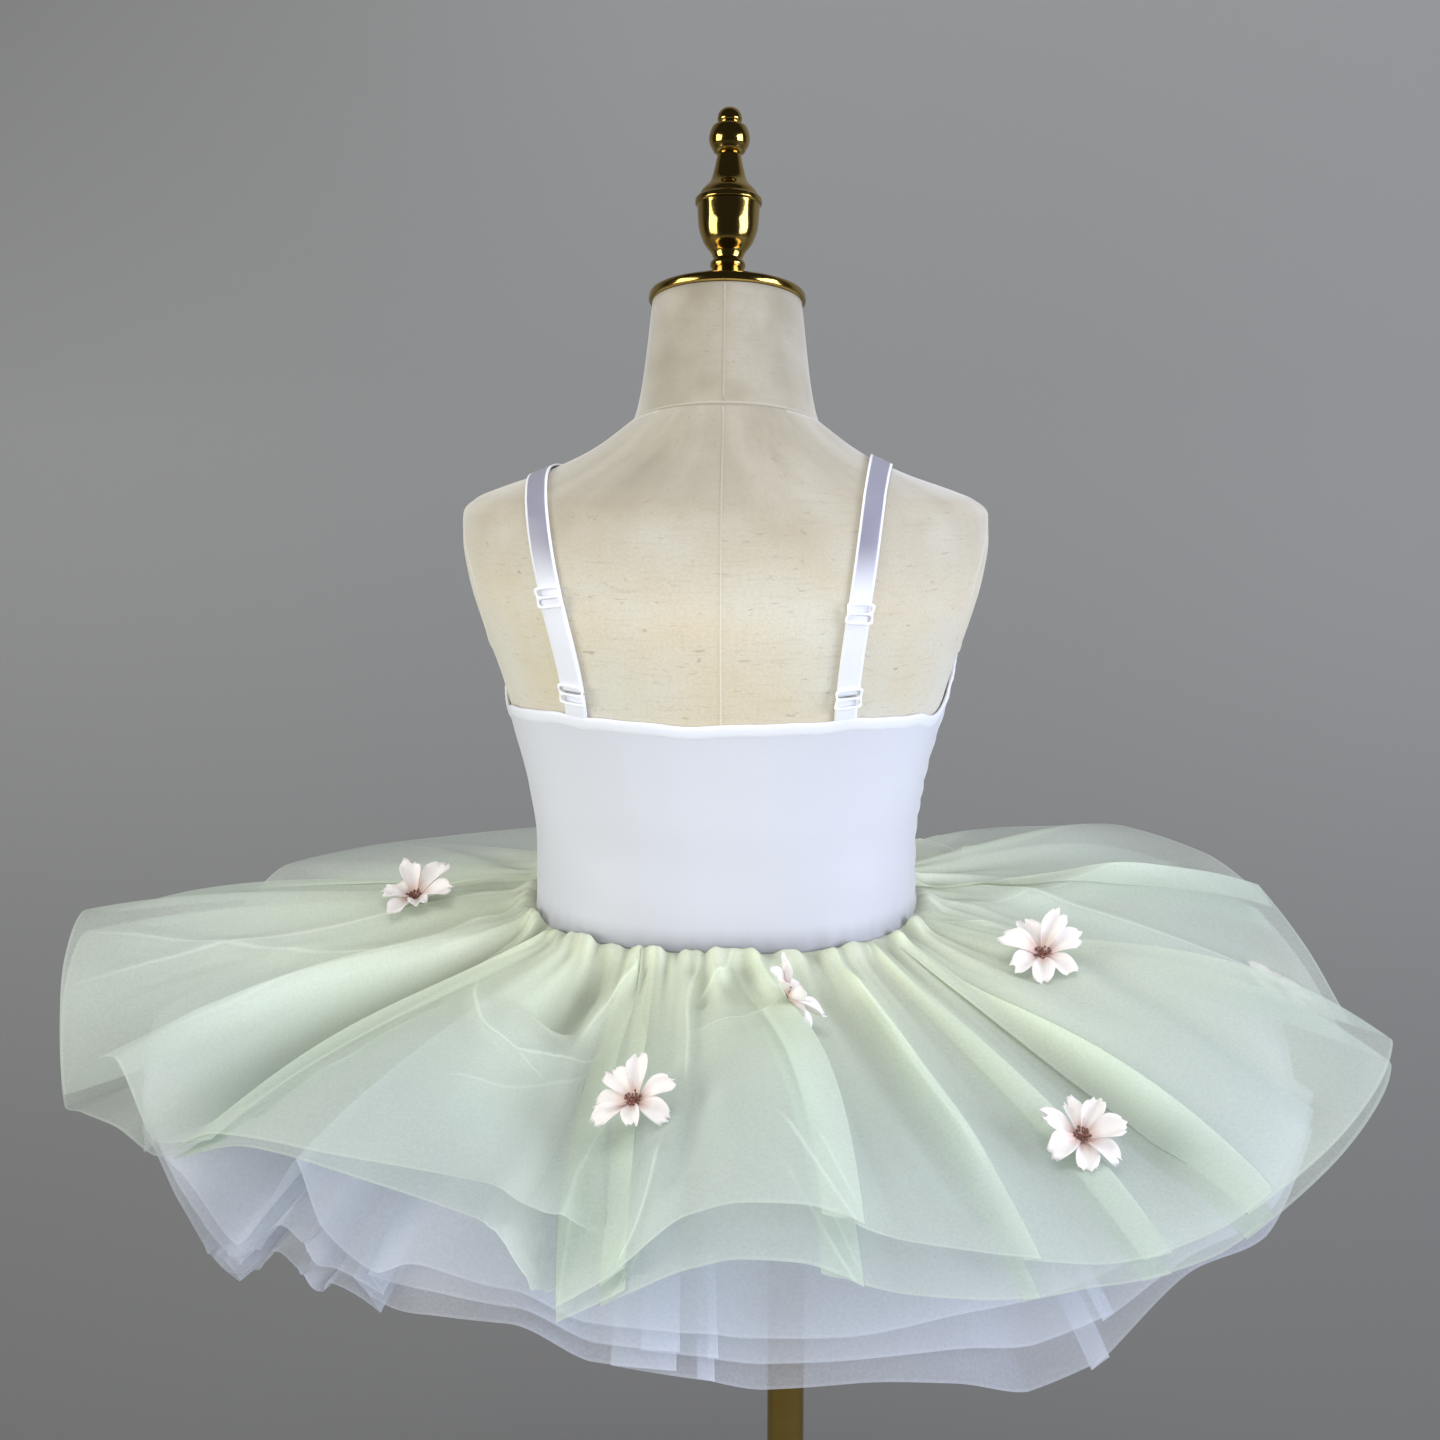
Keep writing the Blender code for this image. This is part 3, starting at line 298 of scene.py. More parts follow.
ROOF_TURN = 0.75              # degrees of one cell when a layer looks up at the one above
ROOF_STEP = 0.008             # metres out of one cell

# sunk: 1 for a flower sewn under the outer layer, which shows faintly through it
Flower = namedtuple("Flower", "name angle radius turn lean toward sunk")
FLOWERS = (
    Flower("a", -92, 162, 10, 8, -40, 0),
    Flower("b", -7.4, 249, 40, 24, -8, 0),
    Flower("c", 12, 160, 70, 52, 95, 0),
    Flower("d", 68, 170, 15, 26, 5, 0),
    Flower("e", 39.5, 262, 55, 22, 15, 0),
    Flower("f", -64, 140, 30, 8, -20, 1),
    Flower("g", 102, 300, 20, 6, 60, 1),
    Flower("h", 160, 188, 80, 8, 150, 0),
    Flower("i", 163, 286, 5, 14, 152, 1),
    Flower("j", 182, 228, 35, 16, 170, 0),
    Flower("k", 198, 288, 60, 18, 204, 0),
    Flower("l", 206, 172, 25, 12, 220, 0),
)


# ---- settings that a user would change -------------------------------------------------------
def linear(hex_colour):
    """Turn an sRGB hex colour into linear red, green and blue."""
    channels = [int(hex_colour[k:k + 2], 16) / 255 for k in (1, 3, 5)]
    return tuple(c / 12.92 if c <= 0.04045 else ((c + 0.055) / 1.055) ** 2.4 for c in channels)


def colour_setting(name, description, hex_colour):
    """A colour property with its default given as sRGB hex."""
    return bpy.props.FloatVectorProperty(
        name=name, description=description, subtype="COLOR", size=3, min=0.0, max=1.0,
        default=linear(hex_colour),
    )


class TutuClothSettings(bpy.types.PropertyGroup):
    """Colours and density of the cloth."""

    bodice_colour: colour_setting("Bodice", "Stretch satin of the bodice", "#D6D8E2")
    elastic_colour: colour_setting("Elastic", "Satin elastic of straps and binding", "#F2F3F8")
    green_waist: colour_setting("Green at the waist", "Sage tulle near the seam", "#F0F6E2")
    green_hem: colour_setting("Green at the hem", "Sage tulle toward the hem", "#E7F1E6")
    white_net: colour_setting("White net", "Tulle of the underskirt", "#EEF3FF")
    green_density: bpy.props.FloatProperty(
        name="Green density", description="Share of light one green layer stops",
        subtype="FACTOR", min=0.05, max=1.0, default=0.42,
    )
    white_density: bpy.props.FloatProperty(
        name="White density", description="Share of light one white layer stops",
        subtype="FACTOR", min=0.05, max=1.0, default=0.39,
    )
    gather_depth: bpy.props.FloatProperty(
        name="Gather depth", description="Half the height of a gather at the waist seam",
        subtype="DISTANCE", unit="LENGTH", min=0.0, max=0.004, default=0.0021,
    )


class TutuFormSettings(bpy.types.PropertyGroup):
    """Colours of the dress form and its stand."""

    linen_colour: colour_setting("Linen", "Woven cover of the form", "#D2CBB8")
    brass_colour: colour_setting("Brass", "Polished metal of cap, finial and stand", "#C4A85F")
    brass_roughness: bpy.props.FloatProperty(
        name="Brass roughness", description="Blur of the metal's reflections",
        subtype="FACTOR", min=0.0, max=1.0, default=0.11,
    )


class TutuFlowerSettings(bpy.types.PropertyGroup):
    """Size and colours of the sewn-on flowers."""

    petal_length: bpy.props.FloatProperty(
        name="Petal length", description="From the middle of a flower to a petal's tip",
        subtype="DISTANCE", unit="LENGTH", min=0.005, max=0.04, default=0.0228,
    )
    petal_colour: colour_setting("Petals", "Outer part of a petal", "#F6F2F0")
    petal_base: colour_setting("Petal base", "Petal round the stamens", "#DDBDB1")
    stamen_colour: colour_setting("Stamens", "Middle of a flower", "#6E463C")


class TutuStageSettings(bpy.types.PropertyGroup):
    """Backdrop and lights."""

    backdrop_colour: colour_setting("Backdrop", "Floor and the sweep behind it", "#888887")
    side_power: bpy.props.FloatProperty(
        name="Side lights", description="Power of each large soft light at the sides",
        unit="POWER", min=0.0, max=500.0, default=53.0,
    )
    top_power: bpy.props.FloatProperty(
        name="Top light", description="Power of the soft light overhead", unit="POWER",
        min=0.0, max=500.0, default=26.0,
    )


# ---- tables to smooth curves -----------------------------------------------------------------
def knot_slopes(x, y, crease):
    """Slopes before and after each knot: flat at a rounded top, straight at a sharp crease."""
    rise = np.diff(y) / np.diff(x)
    before = np.concatenate(([rise[0]], rise))
    after = np.concatenate((rise, [rise[-1]]))
    same_way = before * after > 0
    total = np.where(same_way, before + after, 1.0)
    smooth = np.where(same_way, 2.0 * before * after / total, 0.0)
    return smooth + (before - smooth) * crease, smooth + (after - smooth) * crease


def curve(x, y, crease, at):
    """Read a smooth curve through the knots (x, y) at the places in `at`."""
    x, y, at = (np.asarray(values, dtype=float) for values in (x, y, at))
    before, after = knot_slopes(x, y, np.asarray(crease, dtype=float))
    span = np.clip(np.searchsorted(x, at, side="right") - 1, 0, len(x) - 2)
    width = x[span + 1] - x[span]
    t = (at - x[span]) / width
    start = y[span] * (1 + 2 * t) * (1 - t) ** 2 + y[span + 1] * t * t * (3 - 2 * t)
    return start + width * (after[span] * t * (1 - t) ** 2 - before[span + 1] * t * t * (1 - t))


def section_at(sections, field, height):
    """One column of a section table at a height in millimetres."""
    heights = [row.height for row in sections]
    return curve(heights, [getattr(row, field) for row in sections], 0.0, height)


def round_knots(knots, field, places, turn=0.0):
    """One column of a knot table, read round the body; `turn` is what one full turn adds."""
    count = len(knots)
    index = np.arange(-2, count + 3)
    values = [getattr(knots[k % count], field) + turn * (k // count) for k in index]
    crease = [knots[k % count].crease for k in index]
    return curve(index, values, crease, places)


# ---- the dress form's surface ----------------------------------------------------------------
def power(value, squareness):
    """Rounded-square version of a sine or cosine."""
    return np.sign(value) * np.abs(value) ** (2.0 / squareness)


def form_points(angle, height, lift=0.0, sections=TORSO):
    """Points on the form at body angles (degrees) and heights (mm), moved out by lift (metres)."""
    angle, height = np.broadcast_arrays(np.asarray(angle, float), np.asarray(height, float))
    read = {
        field: section_at(sections, field, height)
        for field in ("half_width", "half_depth", "forward", "tilt", "squareness")
    }
    side = power(np.sin(np.radians(angle)), read["squareness"])
    back = power(np.cos(np.radians(angle)), read["squareness"])
    out_x, out_y = side / read["half_width"], -back / read["half_depth"]
    size = np.hypot(out_x, out_y)
    lean = np.radians(read["tilt"])
    return np.stack((
        BODY_X + side * read["half_width"] * MM + out_x / size * lift,
        (read["forward"] - back * read["half_depth"] * np.cos(lean)) * MM + out_y / size * lift,
        WAIST_HEIGHT + (height + back * read["half_depth"] * np.sin(lean)) * MM,
    ), axis=-1)


def waist_middle():
    """Middle of the waist, the point that hem angles and reaches are measured from."""
    return np.array((BODY_X, float(section_at(TORSO, "forward", 0.0)) * MM, WAIST_HEIGHT))


def seam_drop(angle):
    """How far the waist seam lies below its front height, in metres."""
    return SEAM_DIP * (0.5 + 0.5 * np.cos(np.radians(angle)))


def edge_height(angle):
    """Height of the bodice's top edge (mm); its two sides are alike, but it is worn turned."""
    angle = np.abs((np.asarray(angle, float) - GARMENT_TURN + 180.0) % 360.0 - 180.0)
    return curve([p.angle for p in TOP_EDGE], [p.height for p in TOP_EDGE], 0.0, angle)


# ---- mesh helpers ----------------------------------------------------------------------------
def net(points, closed=False):
    """Skin a (rows, columns, 3) array of points with a grid; closed joins its two sides."""
    rows, columns = points.shape[:2]
    if closed:
        points = np.concatenate((points, points[:, :1]), axis=1)
        columns += 1
    bm = bmesh.new()
    bmesh.ops.create_grid(bm, x_segments=columns - 1, y_segments=rows - 1, size=1.0)
    for vert, point in zip(bm.verts, points.reshape(-1, 3).tolist(), strict=True):
        vert.co = point
    return bm


def add_uv(mesh, uv, name="weave"):
    """Give a mesh a UV map from one pair of values for each vertex."""
    corner = np.empty(len(mesh.loops), dtype=np.int32)
    mesh.loops.foreach_get("vertex_index", corner)
    mesh.uv_layers.new(name=name).data.foreach_set("uv", uv[corner].ravel().astype(np.float32))


def piece(name, bm, material, uv=None, smooth_angle=180.0):
    """Make a named, smooth-shaded object that rides on the root body."""
    mesh = bpy.data.meshes.new(name)
    bm.to_mesh(mesh)
    bm.free()
    if uv is not None:
        add_uv(mesh, uv)
    mesh.shade_smooth()
    if smooth_angle < 180.0:
        mesh.set_sharp_from_angle(angle=math.radians(smooth_angle))
    mesh.materials.append(material)
    obj = bpy.data.objects.new(name, mesh)
    bpy.context.scene.collection.objects.link(obj)
    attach(obj, "root")
    return obj


def grid_uv(columns_at, rows_at):
    """UV pairs for a grid: columns_at along a row, rows_at up the rows."""
    u, v = np.meshgrid(columns_at, rows_at)
    return np.stack((u.ravel(), v.ravel()), axis=-1)


def face_up(bm):
    """Turn all faces the same way, most of them up."""
    bmesh.ops.recalc_face_normals(bm, faces=bm.faces)
    if sum(face.normal.z for face in bm.faces) < 0:
        bmesh.ops.reverse_faces(bm, faces=bm.faces)


def face_away(bm, middle):
    """Turn an open sheet's faces so that they look away from a point."""
    bmesh.ops.recalc_face_normals(bm, faces=bm.faces)
    middle = Vector(middle)
    looking = sum(
        f.normal.dot(f.calc_center_median() - middle) * f.calc_area() for f in bm.faces
    )
    if looking < 0:
        bmesh.ops.reverse_faces(bm, faces=bm.faces)


def walled(obj, thickness, offset=1.0):
    """Give an open sheet its thickness."""
    wall = obj.modifiers.new("wall", "SOLIDIFY")
    wall.thickness = thickness
    wall.offset = offset
    return obj


def profile_points(profile, per_span):
    """Turned profile with its rounded spans filled in."""
    steps = np.arange(len(profile), dtype=float)
    places = np.linspace(0, len(profile) - 1, (len(profile) - 1) * per_span + 1)
    crease = [row.sharp for row in profile]
    radius = curve(steps, [row.radius for row in profile], crease, places)
    height = curve(steps, [row.height for row in profile], crease, places)
    return np.maximum(radius, 0.0) * MM, height * MM


def turned(name, profile, segments, per_span, material, matrix=None):
    """Spin a profile round Z, then place its mesh."""
    radius, height = profile_points(profile, per_span)
    bm = bmesh.new()
    verts = [bm.verts.new((r, 0.0, h)) for r, h in zip(radius, height)]
    edges = [bm.edges.new(pair) for pair in zip(verts, verts[1:])]
    bmesh.ops.spin(
        bm, geom=verts + edges, cent=(0, 0, 0), axis=(0, 0, 1), angle=math.tau,
        steps=segments, use_merge=True, use_normal_flip=False, use_duplicate=False,
    )
    bmesh.ops.remove_doubles(bm, verts=bm.verts, dist=MM / 1000)
    bmesh.ops.dissolve_degenerate(bm, edges=bm.edges, dist=MM / 1000)
    bmesh.ops.recalc_face_normals(bm, faces=bm.faces)
    if matrix:
        bmesh.ops.transform(bm, matrix=matrix, verts=bm.verts)
    return piece(name, bm, material, smooth_angle=38.0)


def sampled_tree(*objects):
    """Search tree of the evaluated meshes of some objects."""
    graph = bpy.context.evaluated_depsgraph_get()
    points, faces = [], []
    for obj in objects:
        evaluated = obj.evaluated_get(graph)
        mesh = evaluated.to_mesh()
        start = len(points)
        points += [vert.co.copy() for vert in mesh.vertices]
        faces += [tuple(start + k for k in face.vertices) for face in mesh.polygons]
        evaluated.to_mesh_clear()
    return BVHTree.FromPolygons(points, faces)


# ---- materials -------------------------------------------------------------------------------
def add(tree, kind, inputs=None, **settings):
    """Add a node with its settings; an input is a value, or a socket that it is linked to."""
    node = tree.nodes.new("ShaderNode" + kind)
    for key, value in settings.items():
        setattr(node, key, value)
    for key, value in (inputs or {}).items():
        if isinstance(value, bpy.types.NodeSocket):
            tree.links.new(value, node.inputs[key])
        elif isinstance(value, tuple) and len(value) == 3 and node.inputs[key].type == "RGBA":
            node.inputs[key].default_value = (*value, 1.0)
        else:
            node.inputs[key].default_value = value
    return node


def new_material(name):
    """An empty node material and its output node."""
    material = bpy.data.materials.new(name)
    material.use_nodes = True
    material.node_tree.nodes.clear()
    return material, material.node_tree, add(material.node_tree, "OutputMaterial")


def show(tree, output, shader):
    """Send a shader to the material's output."""
    tree.links.new(shader.outputs[0], output.inputs["Surface"])


def tinted(colour, *factors):
    """A colour times one factor, or times one for each channel."""
    factors = factors * 3 if len(factors) == 1 else factors
    return tuple(min(1.0, c * k) for c, k in zip(colour, factors))


def object_place(tree):
    """Object coordinates, which are metres in the shared frame."""
    return add(tree, "TexCoord").outputs["Object"]


def weave_place(tree):
    """The cloth's own UV coordinates."""
    return add(tree, "UVMap", uv_map="weave").outputs[0]


def parts_of(tree, vector):
    """The three parts of a vector."""
    return add(tree, "SeparateXYZ", {0: vector}).outputs


def maths(tree, operation, first, second=0.5, **settings):
    """Result of a Math node; some operations read only the first value."""
    return add(tree, "Math", {0: first, 1: second}, operation=operation, **settings).outputs[0]


def vectors(tree, operation, **inputs):
    """Result of a VectorMath node on inputs a, b, c and scale."""
    sockets = {"a": 0, "b": 1, "c": 2, "scale": "Scale"}
    named = {sockets[key]: value for key, value in inputs.items()}
    return add(tree, "VectorMath", named, operation=operation).outputs[0]


def ramp(tree, value, low=0.0, high=1.0, to_low=0.0, to_high=1.0, smooth=False):
    """Map a value from low .. high to to_low .. to_high."""
    kind = "SMOOTHSTEP" if smooth else "LINEAR"
    return add(tree, "MapRange", {
        "Value": value, "From Min": low, "From Max": high, "To Min": to_low, "To Max": to_high,
    }, interpolation_type=kind).outputs[0]


def blend(tree, share, first, second):
    """Mix two colours."""
    return add(tree, "Mix", {0: share, 6: first, 7: second}, data_type="RGBA").outputs[2]


def noise(tree, place, scale, detail=2.0, distortion=0.0):
    """Soft random pattern, about 0 .. 1."""
    return add(tree, "TexNoise", {
        "Vector": place, "Scale": scale, "Detail": detail, "Distortion": distortion,
    }).outputs[0]


def stretched(tree, place, scale, shift=(0, 0, 0)):
    """Coordinates stretched along their axes, and moved."""
    return add(tree, "Mapping", {"Vector": place, "Scale": scale, "Location": shift}).outputs[0]


def bumped(tree, height, strength, distance):
    """Normal of a surface with fine relief."""
    return add(tree, "Bump", {
        "Height": height, "Strength": strength, "Distance": distance,
    }).outputs[0]


def woven_linen(colour):
    """Plain-woven linen: matt and mottled, with short dark flecks and faint slubs both ways."""
    material, tree, output = new_material("woven_linen")
    place = weave_place(tree)
    marks = []
    # scale, threshold and strength of the flecks, then of the weft and warp slubs
    for scale, low, high, strength in (
        ((150, 520, 1), 0.67, 0.77, 0.60), ((280, 560, 1), 0.68, 0.78, 0.46),
        ((60, 640, 1), 0.56, 0.80, 0.26), ((640, 60, 1), 0.60, 0.82, 0.16),
    ):
        moved = stretched(tree, place, scale, (strength, 3, 0))
        grain = noise(tree, moved, 1.0, 1.5, 0.6)
        marks.append(ramp(tree, grain, low, high, 0.0, strength))
    flecks = maths(tree, "MAXIMUM", marks[0], marks[1])
    slubs = maths(tree, "MAXIMUM", marks[2], marks[3])
    # threads are 0.5 mm apart; drawn at 1.2 mm so that they show
    thread = noise(tree, place, 830.0, 1.0)
    patch = noise(tree, place, 24.0, 4.0)
    warm = tinted(colour, 0.99, 0.95, 0.88)
    cool = tinted(colour, 1.0, 1.03, 1.09)
    dark = tinted(colour, 0.54, 0.47, 0.38)
    dull = tinted(colour, 0.60, 0.58, 0.55)
    # painted shade colour for the neck
    neck_shade_colour = tinted(colour, 0.36, 0.345, 0.33)
    ground = blend(tree, ramp(tree, patch, 0.36, 0.64), warm, cool)
    streaked = blend(tree, slubs, ground, dull)
    cloth = ramp(tree, thread, to_low=0.90, to_high=1.10)
    woven = vectors(tree, "SCALE", a=streaked, scale=cloth)
    flecked = blend(tree, flecks, woven, dark)
    # painted shade: the cover is painted darker toward the neck, in blotches, where less light
    # falls from above
    up = parts_of(tree, object_place(tree))[2]
    neck_shade = ramp(tree, up, WAIST_HEIGHT + 0.160, WAIST_HEIGHT + 0.235, 0.0, 0.9, smooth=True)
    blotchy = ramp(tree, patch, 0.3, 0.7, 1.0, 0.62)
    tone = blend(tree, maths(tree, "MULTIPLY", neck_shade, blotchy), flecked, neck_shade_colour)
    height = maths(tree, "ADD", thread, slubs)
    shader = add(tree, "BsdfPrincipled", {
        "Base Color": tone, "Roughness": 0.88, "Specular IOR Level": 0.25, "Sheen Weight": 0.8,
        "Normal": bumped(tree, height, 0.25, 0.0004),
    })
    show(tree, output, shader)
    return material


def stretch_satin(colour):
    """Knitted satin: close and smooth, with a soft wide highlight and hardly any texture."""
    material, tree, output = new_material("stretch_satin_jersey")
    place = weave_place(tree)
    # wales are 0.4 mm apart; drawn at 1 mm
    knit = noise(tree, stretched(tree, place, (1000, 260, 1)), 1.0, 1.0)
    cloud = noise(tree, place, 14.0)
    tone = blend(tree, cloud, tinted(colour, 0.955), colour)
    # painted shade: darker low down toward the waist, and a painted contact shadow in the crack
    # just above the net
    up = parts_of(tree, object_place(tree))[2]
    low = ramp(tree, up, WAIST_HEIGHT, WAIST_HEIGHT + 0.075, 0.80, 1.0)
    contact_shadow = ramp(tree, up, WAIST_HEIGHT - 0.004, WAIST_HEIGHT + 0.010, 0.62, 1.0, smooth=True)
    face = vectors(tree, "SCALE", a=tone, scale=maths(tree, "MULTIPLY", low, contact_shadow))
    shader = add(tree, "BsdfPrincipled", {
        "Base Color": face, "Roughness": ramp(tree, knit, to_low=0.36, to_high=0.50),
        "Sheen Weight": 0.55, "Sheen Roughness": 0.40, "Specular IOR Level": 0.45,
        "Normal": bumped(tree, knit, 0.10, 0.0002),
    })
    show(tree, output, shader)
    return material


def satin_elastic(name, colour, edge_share, rib_pitch):
    """Satin-faced elastic: a smooth middle between ribbed, lighter edges."""
    material, tree, output = new_material(name)
    place = weave_place(tree)
    across, along, _ = parts_of(tree, place)
    away = maths(tree, "ABSOLUTE", maths(tree, "SUBTRACT", across, 0.5))
    edge = ramp(tree, away, 0.5 - edge_share, 0.5 - edge_share * 0.6)
    rib = maths(tree, "SINE", maths(tree, "MULTIPLY", along, math.tau / rib_pitch))
    height = maths(tree, "ADD", maths(tree, "MULTIPLY", rib, edge), noise(tree, place, 60.0, 3.0))
    middle = tinted(colour, 0.91, 0.92, 0.96)
    # painted shade: the satin face is painted darker and more lilac where it lies over toward the
    # shoulder, standing in for the dim room it mirrors there
    up = parts_of(tree, object_place(tree))[2]
    over = ramp(tree, up, WAIST_HEIGHT + 0.174, WAIST_HEIGHT + 0.203, 0.0, 0.95, smooth=True)
    face = blend(tree, over, middle, tinted(colour, 0.25, 0.245, 0.31))
    shader = add(tree, "BsdfPrincipled", {
        "Base Color": blend(tree, edge, face, colour),
        "Roughness": ramp(tree, edge, to_low=0.34, to_high=0.7), "Sheen Weight": 0.15,
        "Normal": bumped(tree, height, 0.35, 0.0002),
    })
    show(tree, output, shader)
    return material


def bright_lines(tree, fold):
    """The brightest of a fold's edge and the edges of the creases near a point."""
    gaps = add(tree, "Attribute", attribute_name="crease_gaps").outputs["Vector"]
    apart = vectors(tree, "ABSOLUTE", a=gaps)
    near = vectors(
        tree, "MULTIPLY_ADD", a=apart, b=(-1.0 / LINE_HALF_WIDTH,) * 3, c=(1.0, 1.0, 1.0)
    )
    close = vectors(tree, "MAXIMUM", a=near, b=(0.0, 0.0, 0.0))
    strengths = add(tree, "Attribute", attribute_name="crease_lines").outputs["Vector"]
    for edge in parts_of(tree, vectors(tree, "MULTIPLY", a=close, b=strengths)):
        fold = maths(tree, "MAXIMUM", fold, edge)
    return fold


def tulle(name, waist_colour, hem_colour, density, seam_density, hem_density, translucent):
    """Fine net: each layer stops part of the light, more where it is gathered, folded or hemmed."""
    material, tree, output = new_material(name)
    along = parts_of(tree, weave_place(tree))[1]
    spot = object_place(tree)
    # net holes are 0.9 mm; drawn at 1.5 mm
    holes = ramp(tree, noise(tree, spot, 660.0, 0.0), to_low=0.88, to_high=1.12)
    drift = ramp(tree, noise(tree, spot, 16.0), to_low=0.88, to_high=1.12)
    plain = maths(tree, "MULTIPLY", maths(tree, "MULTIPLY", holes, drift), density)
    eased = maths(tree, "POWER", ramp(tree, along, 0.0, 0.95, 1.0, 0.0), 1.6)
    to_seam = maths(tree, "MULTIPLY", eased, seam_density)
    hem = ramp(tree, along, 0.9925, 0.996, 0.0, hem_density)
    shape = add(tree, "Attribute", attribute_name="net_shape").outputs["Vector"]
    fold, flank, hollow = parts_of(tree, shape)
    folded = maths(tree, "MULTIPLY", bright_lines(tree, fold), 0.34)
    steep = maths(tree, "MULTIPLY", flank, 0.22)
    bunched = maths(tree, "ADD", maths(tree, "ADD", hem, folded), steep)
    extra = maths(tree, "ADD", bunched, to_seam)
    solid = maths(tree, "ADD", plain, extra, use_clamp=True)
    colour = blend(tree, ramp(tree, along, 0.05, 0.8), waist_colour, hem_colour)
    # fold edges: the net is denser there, and painted lighter as a highlight
    highlight_colour = tuple(min(1.0, c * 1.12 + 0.02) for c in hem_colour)
    edged = blend(tree, folded, colour, highlight_colour)
    # painted shade: the net is painted darker at the bottom of a trough between the layers, and a
    # little lighter on a crest
    lit = ramp(tree, hollow, -1.0, DEEPEST, 1.06, 0.62)
    shaded = vectors(tree, "SCALE", a=edged, scale=lit)
    front = add(tree, "BsdfPrincipled", {
        "Base Color": shaded, "Roughness": 0.9, "Specular IOR Level": 0.0,
    })
    through = add(tree, "BsdfTranslucent", {"Color": shaded})
    cloth = add(tree, "MixShader", {0: translucent, 1: front.outputs[0], 2: through.outputs[0]})
    open_net = add(tree, "BsdfTransparent")
    show(tree, output, add(tree, "MixShader", {
        0: solid, 1: open_net.outputs[0], 2: cloth.outputs[0],
    }))
    return material


def polished_brass(colour, roughness):
    """Turned and polished brass: warm, dark where it mirrors the room, faintly marked."""
    material, tree, output = new_material("polished_brass")
    spot = object_place(tree)
    marks = noise(tree, spot, 45.0, 4.0)
    lines = noise(tree, stretched(tree, spot, (30, 30, 900)), 1.0)
    shader = add(tree, "BsdfPrincipled", {
        "Base Color": blend(tree, marks, colour, tinted(colour, 0.72, 0.66, 0.50)),
        "Metallic": 1.0,
        "Roughness": ramp(tree, marks, 0.3, 0.75, roughness * 0.75, roughness * 1.5),
        "Normal": bumped(tree, lines, 0.04, 0.0002),
    })
    show(tree, output, shader)
    return material


def moulded_plastic(colour):
    """Moulded acetal of a strap slider: white, a little milky, with a clear small highlight."""
    material, tree, output = new_material("moulded_white_plastic")
    flow = noise(tree, object_place(tree), 220.0, 1.0)
    shader = add(tree, "BsdfPrincipled", {
        "Base Color": colour, "Roughness": ramp(tree, flow, to_low=0.22, to_high=0.34),
        "Subsurface Weight": 0.15, "Subsurface Radius": (0.002, 0.002, 0.002),
        "Subsurface Scale": 1.0,
    })
    show(tree, output, shader)
    return material


def petal_cloth(colour, base_colour):
    """Stiffened petal fabric: off-white, blushing toward the middle, with fine veins."""
    material, tree, output = new_material("petal_fabric")
    place = weave_place(tree)
    blush = ramp(tree, parts_of(tree, place)[1], 0.08, 0.46, 1.0, 0.0, smooth=True)
    veins = noise(tree, stretched(tree, place, (14, 1.6, 1)), 1.0)
    veined = maths(tree, "MULTIPLY", blush, veins)
    shaded = maths(tree, "MULTIPLY", veined, 1.5, use_clamp=True)
    tone = blend(tree, shaded, colour, base_colour)
    front = add(tree, "BsdfPrincipled", {
        "Base Color": tone, "Roughness": 0.62, "Sheen Weight": 0.2,
        "Normal": bumped(tree, veins, 0.4, 0.0003),
    })
    through = add(tree, "BsdfTranslucent", {"Color": tone})
    show(tree, output, add(tree, "MixShader", {
        0: 0.25, 1: front.outputs[0], 2: through.outputs[0],
    }))
    return material


def stamen_thread(colour):
    """Dyed thread of the stamens: dark red-brown with lighter pollen tips."""
    material, tree, output = new_material("stamen_thread")
    fleck = noise(tree, object_place(tree), 700.0, 1.0)
    pale = tuple(min(1.0, c * 2.6 + 0.05) for c in colour)
    tone = blend(tree, ramp(tree, fleck, 0.55, 0.68), colour, pale)
    show(tree, output, add(tree, "BsdfPrincipled", {"Base Color": tone, "Roughness": 0.6}))
    return material


def sweep_paper(colour):
    """Background paper: plain and matt, with painted shade on the floor and in its high left
    corner.
    """
    material, tree, output = new_material("background_paper")
    spot = object_place(tree)
    aside, _, up = parts_of(tree, spot)
    # painted shade: the paper is painted darker on the floor and in its high left corner
    paper_shade = tinted(colour, 0.66)
    tone = blend(tree, noise(tree, spot, 0.8), tinted(colour, 0.96), colour)
    low = ramp(tree, up, 0.0, 0.75, 1.0, 0.0, smooth=True)
    high = ramp(tree, up, 0.70, 1.10)
    left = ramp(tree, aside, -0.15, -0.70, 0.0, 0.75)
    corner = maths(tree, "MULTIPLY", high, left)
    tone_and_shade = blend(tree, corner, blend(tree, low, tone, paper_shade), paper_shade)
    paper = add(tree, "BsdfPrincipled", {
        "Base Color": tone_and_shade, "Roughness": 0.95, "Specular IOR Level": 0.1,
    }).outputs[0]
    # its back is clear, so that the garment's front can be looked at from behind the sweep
    back = add(tree, "NewGeometry").outputs["Backfacing"]
    clear = add(tree, "BsdfTransparent").outputs[0]
    show(tree, output, add(tree, "MixShader", {0: back, 1: paper, 2: clear}))
    return material


# ---- skirt -----------------------------------------------------------------------------------
Knot = namedtuple("Knot", "waist hem reach drop arch crease under bow line")


def mixed(a, b, share):
    """Value that lies `share` of the way from a to b."""
    return a + (b - a) * share


